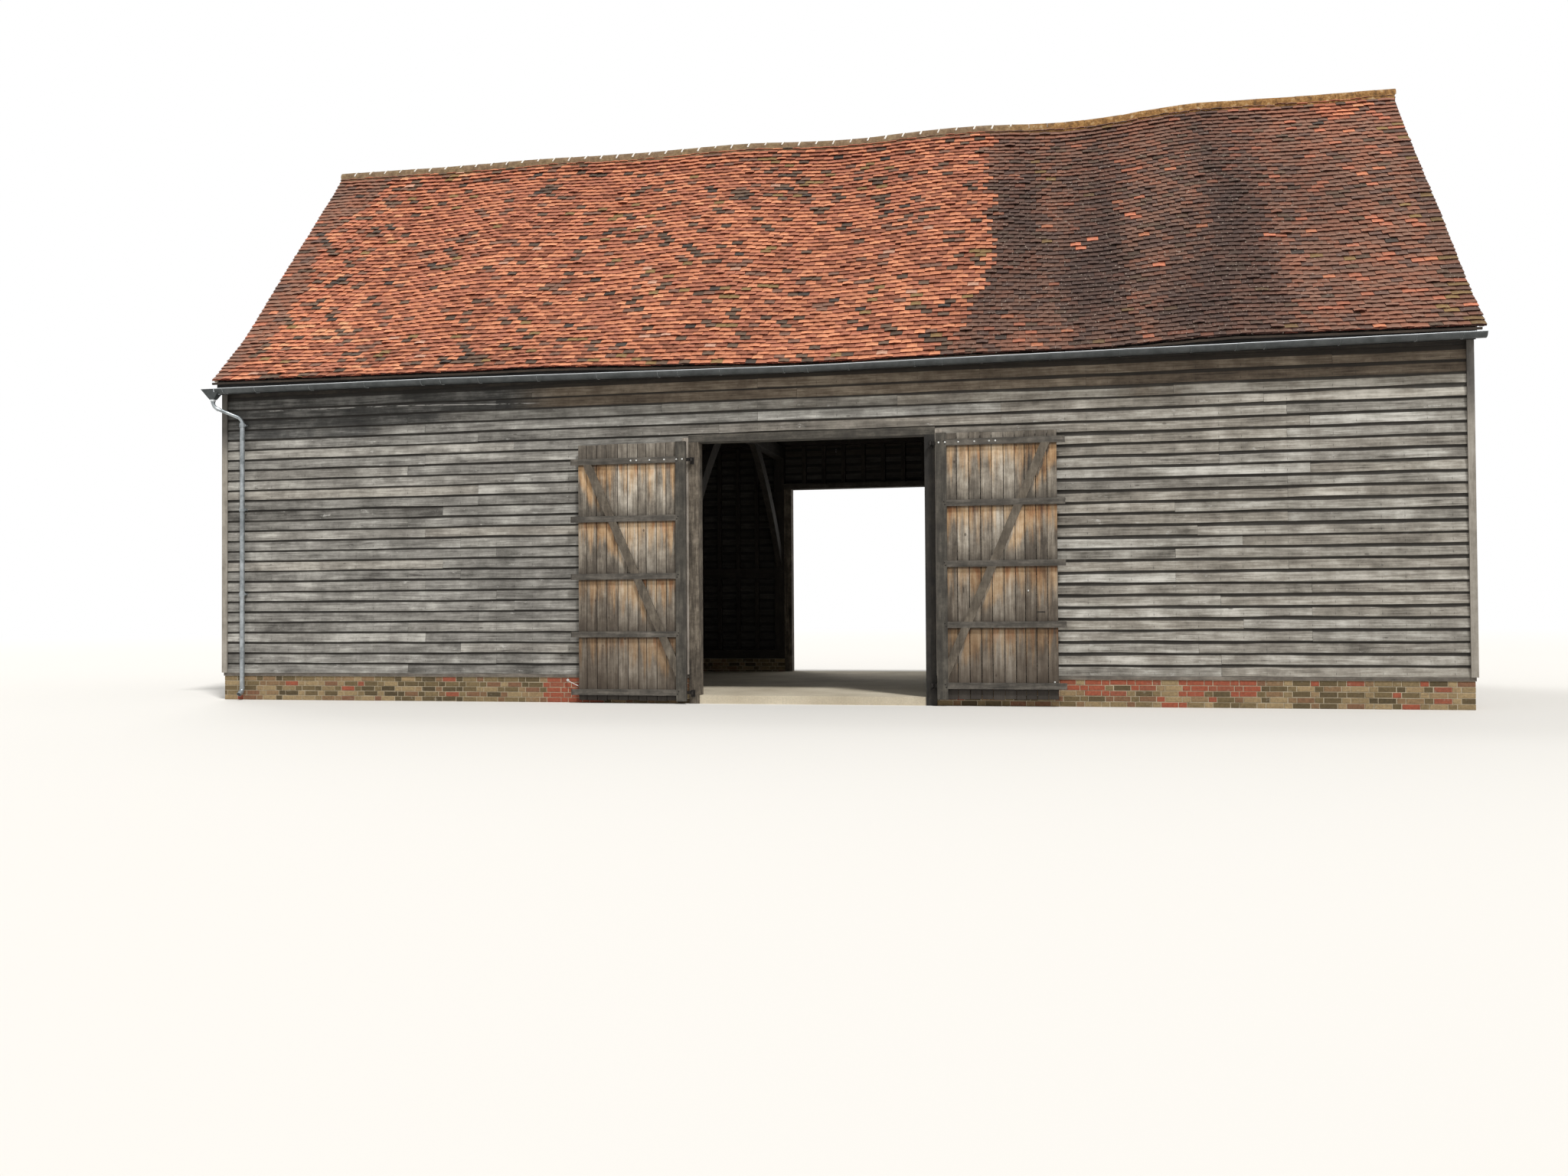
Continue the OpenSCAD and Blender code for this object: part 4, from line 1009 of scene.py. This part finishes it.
def board(gather, u0, u1, z0, sway, put, cut=0.0, ends=None):
    """One feather-edged board from u0 to u1 along the wall with its lower edge at z0, or cut that
    far above it. sway(u) is the waviness of its course, put(u, out, z) gives the place of a
    point, and ends gives the limits of u at a height."""
    rise = BOARD_RISE + BOARD_LAP
    slant = (BOARD_FOOT - BOARD_HEAD + BOARD_PROUD) / rise
    own = wave(gather.random, (5.0, 1.6), gather.random.uniform(0.001, 0.005))
    curl = wave(gather.random, (2.4, 0.9), gather.random.uniform(0.0005, 0.003))
    count = max(2, round((u1 - u0) / STATION) + 1)
    tone = gather.random.beta(2.2, 2.2)
    levels = (z0 + cut, z0 + rise)
    base = z0 if ends is None else 0.0
    map_rows = (z0 + rise + HEAD_ROOM, z0, z0 + FOOT_ROOM, z0 + rise)
    rings, grain, spot, flat = [], [], [], []
    for share in np.linspace(0, 1, count):
        limits = [(u0, u1) if ends is None else ends(z, u0, u1) for z in levels]
        foot_u, head_u = [a + (b - a) * share for a, b in limits]
        drop = float(sway(foot_u) + own(foot_u)) * (cut == 0)
        out = abs(float(curl(foot_u)))
        face = BOARD_FOOT + BOARD_PROUD + out - slant * cut
        back = BOARD_PROUD * (1 - cut / rise) + out
        low, high = levels[0] + drop, levels[1] + float(sway(head_u))
        section = [
            (head_u, 0.0, high), (foot_u, back, low), (foot_u, face, low), (head_u, BOARD_HEAD, high)]
        rings.append([put(*point) for point in section])
        grain.append([(u, z, deep) for u, deep, z in section])
        spot.append([(u, z - z0 + FOOT_MARK * (k > 1), base) for k, (u, _, z) in enumerate(section)])
        flat.append([(u, row) for (u, _, _), row in zip(section, map_rows)])
    gather.loft(rings, grain, tone, spot, flat)


def lengths_of_boards(random, u0, u1):
    """Joints of a course: boards of 3 to 5 m, cut at the nailing places."""
    joints = [u0]
    while u1 - joints[-1] > 5.6:
        step = random.uniform(2.9, 5.0)
        joints.append(round((joints[-1] + step) / NAIL_GAP) * NAIL_GAP + NAIL_GAP / 2)
        if u1 - joints[-1] < 1.0:
            joints[-1] = u1 - random.uniform(1.6, 2.6)
    return joints + [u1]


def long_wall(name, side, nodes, head_node, seed):
    """Weatherboards of a long wall, left out at the doorway up to the head."""
    gather = Gather(seed)
    left, right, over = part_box(nodes[0]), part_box(nodes[1]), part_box(head_node)
    inner = min(abs(left[0].y), abs(left[1].y))
    z0, z1 = left[0].z, left[1].z
    lowest_over = over[0].z + 0.004

    def put(u, out, z):
        return u, side * (inner + out), z

    for k in range(int((z1 - z0) / BOARD_RISE)):
        low = z0 + k * BOARD_RISE
        sway = wave(gather.random, (11.0, 4.2, 1.9), 0.012)
        spans = [(left[0].x, right[1].x, 0.0)]
        if low < lowest_over:
            spans = [(left[0].x, left[1].x, 0.0), (right[0].x, right[1].x, 0.0)]
            if low + BOARD_RISE > lowest_over:
                spans.append((over[0].x, over[1].x, lowest_over - low))
        for u0, u1, cut in spans:
            joints = lengths_of_boards(gather.random, u0, u1)
            for a, b in zip(joints[:-1], joints[1:]):
                slip = 0.0 if cut else gather.random.normal(0, 0.0025)
                board(gather, a + 0.001, b - 0.001, low + slip, sway, put, cut)
    piece(name, gather, WEATHERBOARD, replaces=[*nodes, head_node])


def gable_wall(name, side, node, seed):
    """Weatherboards of a gable, cut to the slope of the roof above the eaves."""
    gather = Gather(seed)
    co = corners(node)
    low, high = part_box(node)
    inner = min(abs(low.x), abs(high.x))
    outs = np.unique(np.round(np.abs(co[:, 1]), 3))[::-1]
    tops = [co[np.abs(np.abs(co[:, 1]) - out) < 0.002, 2].max() for out in outs]

    def put(u, out, z):
        return side * (inner + out), u, z

    def reach(z):
        return float(np.interp(z, tops, outs))

    def ends(z, u0, u1):
        return max(u0, -reach(z)), min(u1, reach(z))

    z = low.z
    while reach(z + BOARD_RISE + BOARD_LAP) > 0.05:
        sway = wave(gather.random, (7.0, 3.1, 1.7), 0.008)
        joints = lengths_of_boards(gather.random, -reach(z), reach(z))
        for a, b in zip(joints[:-1], joints[1:]):
            a = -high.y if a == joints[0] else a + 0.001
            b = high.y if b == joints[-1] else b - 0.001
            board(gather, a, b, z, sway, put, 0.0, ends)
        z += BOARD_RISE
    piece(name, gather, WEATHERBOARD, replaces=[node])


for wall, wall_side, wall_seed in (("front", -1, 301), ("back", 1, 302)):
    long_wall(wall + "_weatherboards", wall_side, [wall + "_boarding_left", wall + "_boarding_right"],
              wall + "_boarding_over_door", wall_seed)
gable_wall("left_gable_weatherboards", -1, "left_gable_boarding", 303)
gable_wall("right_gable_weatherboards", 1, "right_gable_boarding", 304)


# Plinth

# Room left on the map between the walls' outer and inner faces, and between the two ends
MAP_FACE, MAP_END = 0.4, 0.8
# How far a brick's face is worn back at its edges, and how far its back is larger than its face
BRICK_WEAR, BRICK_BACK = 0.004, 0.003


def brick(gather, low, high, axis, out, tone):
    """A brick with a worn face. axis is the wall's direction and out the side that its face is on."""
    deep = 1 - axis
    jolt = gather.random.normal(0, 0.0012, 8)
    face = high[deep] if out > 0 else low[deep]
    back = low[deep] if out > 0 else high[deep]
    map_shift = (MAP_FACE if out * face > 0 else 0.0) + (MAP_END if face > 0 else 0.0) * (axis == 1)
    rings, flat = [], []
    for place, inset in ((back, -BRICK_BACK), (face - out * BRICK_WEAR, 0.0), (face, BRICK_WEAR)):
        ring = np.zeros((4, 3))
        for i, (s, t) in enumerate(((0, 0), (1, 0), (1, 1), (0, 1))):
            ring[i, axis] = (low[axis] + inset) if s == 0 else (high[axis] - inset)
            ring[i, 2] = (low[2] + inset) if t == 0 else (high[2] - inset)
            ring[i, deep] = place - out * abs(jolt[i]) * (place != back)
        flat.append(np.stack([ring[:, axis], ring[:, 2] + map_shift], -1))
        ring[:, axis] += jolt[4]
        ring[:, 2] += jolt[5]
        if inset < 0:
            ring[:, axis] -= BRICK_BACK * np.array([-1, 1, 1, -1])
            ring[:, 2] -= BRICK_BACK * np.array([-1, -1, 1, 1])
        rings.append(ring)
    gather.loft(rings, tone=tone, flat=flat)


def brick_run(gather, start, end, axis, face, out, top, red):
    """Courses of Flemish bond. red(place, height) is the chance of a red brick."""
    course = BRICK_H + JOINT
    for k in range(round(top / course)):
        at, header = start, k % 2 == 1
        if header:
            at -= HEADER_L / 2 + JOINT
        while at < end - 0.01:
            size = HEADER_L if header else BRICK_L
            a, b = max(at, start), min(at + size, end)
            if b - a > 0.03:
                low, high = [0, 0, k * course + BED], [0, 0, k * course + BRICK_H + BED]
                low[axis], high[axis] = a, b
                low[1 - axis], high[1 - axis] = sorted([face, face - out * 0.1])
                tone = gather.random.uniform(0.0, 0.70)
                if gather.random.uniform() < red((a + b) / 2, high[2]):
                    tone = gather.random.uniform(0.84, 1.0)
                brick(gather, low, high, axis, out, tone)
            at += size + JOINT
            header = not header


def plinth(name, node, axis, seed, red):
    """Bricks on both faces of each run of a plinth, round a core of mortar."""
    gather, core = Gather(seed), Gather(seed)
    low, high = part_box(node)
    xs = np.unique(np.round(corners(node)[:, 0], 3))
    pairs = [(xs[0], xs[1]), (xs[2], xs[3])]
    runs = [(*p, low.y, high.y) if axis == 0 else (low.y, high.y, *p) for p in pairs]
    for a, b, c, d in runs:
        for face, out in ((c, -1), (d, 1)):
            brick_run(gather, a, b, axis, face, out, high.z, red)
        corner_a, corner_b = [0, 0, 0], [0, 0, high.z]
        corner_a[axis], corner_b[axis] = a + 0.003, b - 0.003
        corner_a[1 - axis], corner_b[1 - axis] = c + 0.006, d - 0.006
        core.box(corner_a, corner_b, axis)
    piece(name + "_bricks", gather, BRICK, replaces=[node])
    piece(name + "_mortar", core, WALL_MORTAR)


def front_red(x, z):
    """Red bricks lie by the left leaf, and in the upper courses right of the right one."""
    if -3.75 < x < -2.9:
        return 0.95
    if 3.6 < x < 6.4:
        return 0.8 if z > 0.2 else 0.1
    return 0.05


def few_red(x, z):
    return 0.06


plinth("front_plinth", "front_plinths", 0, 401, front_red)
plinth("back_plinth", "back_plinths", 0, 402, few_red)
plinth("gable_plinth", "gable_plinths", 1, 403, few_red)


# Door leaves

# Widths of each leaf's boards from the free edge to the stile, in millimetres
LEFT_WIDTHS = (130, 159, 152, 174, 150, 158, 127, 157, 148, 141, 164)
RIGHT_WIDTHS = (137, 153, 152, 132, 154, 162, 154, 163, 164, 157, 132)
# Bright bolts along the top ledge, and dark ones as (from the hinge, up) at each ledge's end
BRIGHT_BOLTS = (0.045, 0.133, 0.318, 0.540, 0.742, 0.828)
DARK_BOLTS = ((0.112, 0.018), (0.128, -0.020))
# The knob and the eye on the right leaf as (x, z, radius, height), and the slot's (x, z) corners
KNOB, EYE_PLATE = (3.398, 1.603, 0.012, 0.012), (3.745, 0.340, 0.014, 0.010)
SLOT = ((3.516, 1.303), (3.624, 1.317))
# The hook that holds the left leaf: points as (x, out from the wall, z), and its radius
HOOK = (
    (-3.360, 0.0, 0.332), (-3.360, 0.030, 0.332), (-3.340, 0.044, 0.324),
    (-3.200, 0.052, 0.262), (-3.172, 0.052, 0.246), (-3.168, 0.052, 0.268))
HOOK_R = 0.0055


def leaf_boards(side, leaf, widths, material, seed):
    """Upright boards with narrow gaps and worn ends."""
    gather = Gather(seed)
    low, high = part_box(leaf + "_boards")
    free, hinge = (low.x, high.x) if side < 0 else (high.x, low.x)
    scale = (hinge - free) / sum(widths)
    at = free
    for width in widths:
        a, b = sorted((at, at + width * scale))
        at += width * scale
        gap = gather.random.uniform(0.0012, 0.0045)
        top = high.z - gather.random.uniform(0.0, 0.012)
        foot = low.z + gather.random.uniform(0.0, 0.012)
        cup = gather.random.uniform(0.0, 0.0025)
        rings, flat, spot = [], [], []
        for z in np.linspace(foot, top, 12):
            sway = gather.random.normal(0, 0.0006)
            front, back = low.y + cup + abs(sway), high.y
            section = (
                (b - gap, back), (a + gap, back), (a + gap, front + 0.002), (a + gap + 0.003, front),
                ((a + b) / 2, front - cup), (b - gap - 0.003, front), (b - gap, front + 0.002))
            rings.append([(x, y, z) for x, y in section])
            spot.append([(2 * (x - a) / (b - a) - 1, 0, y == back) for x, y in section])
            map_xs = [x for x, _ in section]
            map_xs[0] += 0.002
            map_xs[1] -= 0.002
            flat.append([(x, z) for x in map_xs])
        gather.loft(rings, tone=gather.random.beta(1.6, 1.6), spot=spot, flat=flat)
    piece(leaf + "_planks", gather, material, body=leaf, replaces=[leaf + "_boards"])


def dome(gather, x, y, z, r, high):
    """A round bolt head on an upright face that looks to the front."""
    gather.loft([
        [(x + r * s * math.cos(t), y - high * rise, z + r * s * math.sin(t)) for t in circle(12)]
        for s, rise in ((1.0, 0.0), (1.0, 0.35), (0.8, 0.75), (0.35, 1.0))])


def leaf_ironwork(side, leaf):
    """Bright bolts along the top ledge and dark ones where each ledge meets the stile."""
    ledges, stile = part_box(leaf + "_ledges"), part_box(leaf + "_stile")
    face = ledges[0].y
    top = ledges[1].z - LEDGE_HALF
    first = top - 4 * LEDGE_RISE
    hinge = stile[1].x if side < 0 else stile[0].x
    bright, dark = Gather(511), Gather(512)
    for off in BRIGHT_BOLTS:
        dome(bright, hinge + side * off, face, top, 0.013, 0.008)
    for k in range(5):
        for off, up in DARK_BOLTS:
            dome(dark, hinge + side * off, face, first + k * LEDGE_RISE + up, 0.009, 0.005)
    piece(leaf + "_bright_bolts", bright, PALE_METAL, body=leaf, smooth=True)
    piece(leaf + "_dark_bolts", dark, IRON, body=leaf, smooth=True)


def door_leaf(side, leaf, widths, seed):
    """Boards and ironwork of one leaf, with its look set by the places of its ledges and brace."""
    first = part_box(leaf + "_ledges")[0].z + LEDGE_HALF
    low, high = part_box(leaf + "_brace")
    slope = side * (high.z - low.z) / (high.x - low.x)
    brace = ((low.x + high.x) / 2, (low.z + high.z) / 2, slope)
    leaf_boards(side, leaf, widths, door_board_look(leaf + "_wood", first, brace), seed)
    leaf_ironwork(side, leaf)


def right_leaf_fittings():
    """A knob, an eye near the foot and, as painted shade, the dark slot of a latch on the right leaf.
    """
    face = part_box("right_door_boards")[0].y
    bright, dark = Gather(521), Gather(522)
    for x, z, radius, height in (KNOB, EYE_PLATE):
        dome(bright, x, face, z, radius, height)
    (x0, z0), (x1, z1) = SLOT
    # Painted shade: a thin dark box stands in for the latch's slot
    dark.box((x0, face - 0.002, z0), (x1, face + 0.002, z1))
    piece("right_door_knob", bright, PALE_METAL, body="right_door", smooth=True)
    piece("right_door_slot_shade", dark, IRON, body="right_door")


def hold_back_hook():
    """The pale hook on the plinth that holds the left leaf open."""
    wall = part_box("front_plinths")[0].y
    gather = Gather(523)
    path = np.array([(x, wall - out, z) for x, out, z in HOOK])
    rings = []
    for centre, along in zip(path, np.gradient(path, axis=0)):
        side = np.cross(along, (0.3, 0.2, 1.0))
        side = side / np.linalg.norm(side)
        up = np.cross(side, along / np.linalg.norm(along))
        rings.append([centre + HOOK_R * (math.cos(t) * side + math.sin(t) * up) for t in circle(8)])
    gather.loft(rings)
    dome(gather, *path[0], 0.022, 0.005)
    piece("hold_back_hook", gather, PALE_METAL, smooth=True)


door_leaf(-1, "left_door", LEFT_WIDTHS, 501)
door_leaf(1, "right_door", RIGHT_WIDTHS, 502)
right_leaf_fittings()
hold_back_hook()


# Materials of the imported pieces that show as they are

paint(concrete_look(), "floor_slab")
paint(post_look(), "door_posts")
paint(corner_board_look(), "corner_boards")
paint(wood("brown_oak", "X"), "door_lintels")
paint(wood("brown_oak", "Z"), "left_door_stile", "right_door_stile")
paint(wood("grey_oak", "X"), "drip_boards")
paint(wood("grey_oak", "Y"), "bargeboards")
paint(wood("strip_oak", "Z"), "door_cover_boards")
# Painted shade: the fascia is near black
paint(wood("shaded_fascia_oak", "X"), "fascias")
paint(wood("ledge_oak", "X"), "left_door_ledges", "right_door_ledges")
paint(wood("brace_oak", "Z"), "left_door_brace", "right_door_brace")
# Painted shade: the frame timbers inside the barn get the darker oak
paint(wood("shaded_inner_oak", "X"), "wall_sill_beams", "wall_plates", "mid_rails", "purlins")
paint(wood("shaded_inner_oak", "Y"), "gable_sill_beams", "tie_beams", "collars", "front_rafters",
      "back_rafters")
paint(wood("shaded_inner_oak", "Z"), "frame_posts", "wall_studs", "queen_posts", "arch_braces")
paint(ZINC, "gutters", "gutter_brackets")
paint(BRIGHT_ZINC, "downpipes")
paint(IRON, "door_pintles", "left_door_straps", "right_door_straps")


# Camera, light and floor

FLOOR_R, FADE_FROM, FADE_TO = 150, 22, 70
CLIP_END = 500


def stand(name, data):
    made = bpy.data.objects.new(name, data)
    bpy.context.scene.collection.objects.link(made)
    return made


def camera():
    made = stand("camera", bpy.data.cameras.new("camera"))
    made.data.sensor_width = SENSOR_MM
    made.data.lens = FOCAL_PX / PHOTO_W * SENSOR_MM
    made.data.clip_end = CLIP_END
    made.matrix_world = (
        Matrix.Translation(EYE) @ Matrix.Rotation(YAW, 4, "Z")
        @ Matrix.Rotation(math.pi / 2 + PITCH, 4, "X") @ Matrix.Rotation(ROLL, 4, "Z"))
    bpy.context.scene.camera = made


def sun(name, towards, strength, softness):
    """A lamp far away. towards is the direction from the barn to it, and softness its width in
    degrees."""
    made = stand(name, bpy.data.lights.new(name, "SUN"))
    made.data.energy = strength
    made.data.angle = math.radians(softness)
    x, y, z = towards
    made.rotation_euler = (math.atan2(math.hypot(x, y), z), 0, math.atan2(x, -y))


def world(strength):
    """White where the camera or a reflection sees it, and of that strength as a light."""
    made = bpy.data.worlds.new("studio")
    made.use_nodes = True
    nodes = Nodes(made.node_tree)
    level = nodes.node("MapRange", "Result", {"Value": nodes.seen(), "To Min": strength})
    nodes.feed(nodes.tree.nodes["Background"], {"Color": (1, 1, 1, 1), "Strength": level})
    bpy.context.scene.world = made


def floor():
    """A pale round floor that fades into the white background far from the barn."""
    mesh = bpy.data.meshes.new("studio_floor")
    rim = [(FLOOR_R * math.cos(t), FLOOR_R * math.sin(t), 0) for t in circle(96)]
    mesh.from_pydata(rim, [], [list(range(len(rim)))])
    made = stand("studio_floor", mesh)
    look = Look("studio_floor", 0.95)
    look.feed(look.surface, {"Base Color": srgb(232, 229, 223)})
    white = look.vector("LENGTH", look.place).step(FADE_FROM, FADE_TO) * look.seen()
    glow = look.node("Emission", 0, {"Color": (1, 1, 1, 1), "Strength": 1.0})
    floor_shade = Value(look, look.surface.outputs[0])
    mixed = look.node("MixShader", 0, {0: white, 1: floor_shade, 2: glow})
    look.feed(look.tree.nodes["Material Output"], {"Surface": mixed})
    mesh.materials.append(look.material)


camera()
sun("key", (0.5, -0.62, 1.15), 2.3, 7)
sun("fill", (-0.6, 0.7, 0.8), 0.8, 30)
world(0.46)
floor()
bpy.context.scene.view_settings.view_transform = "Standard"
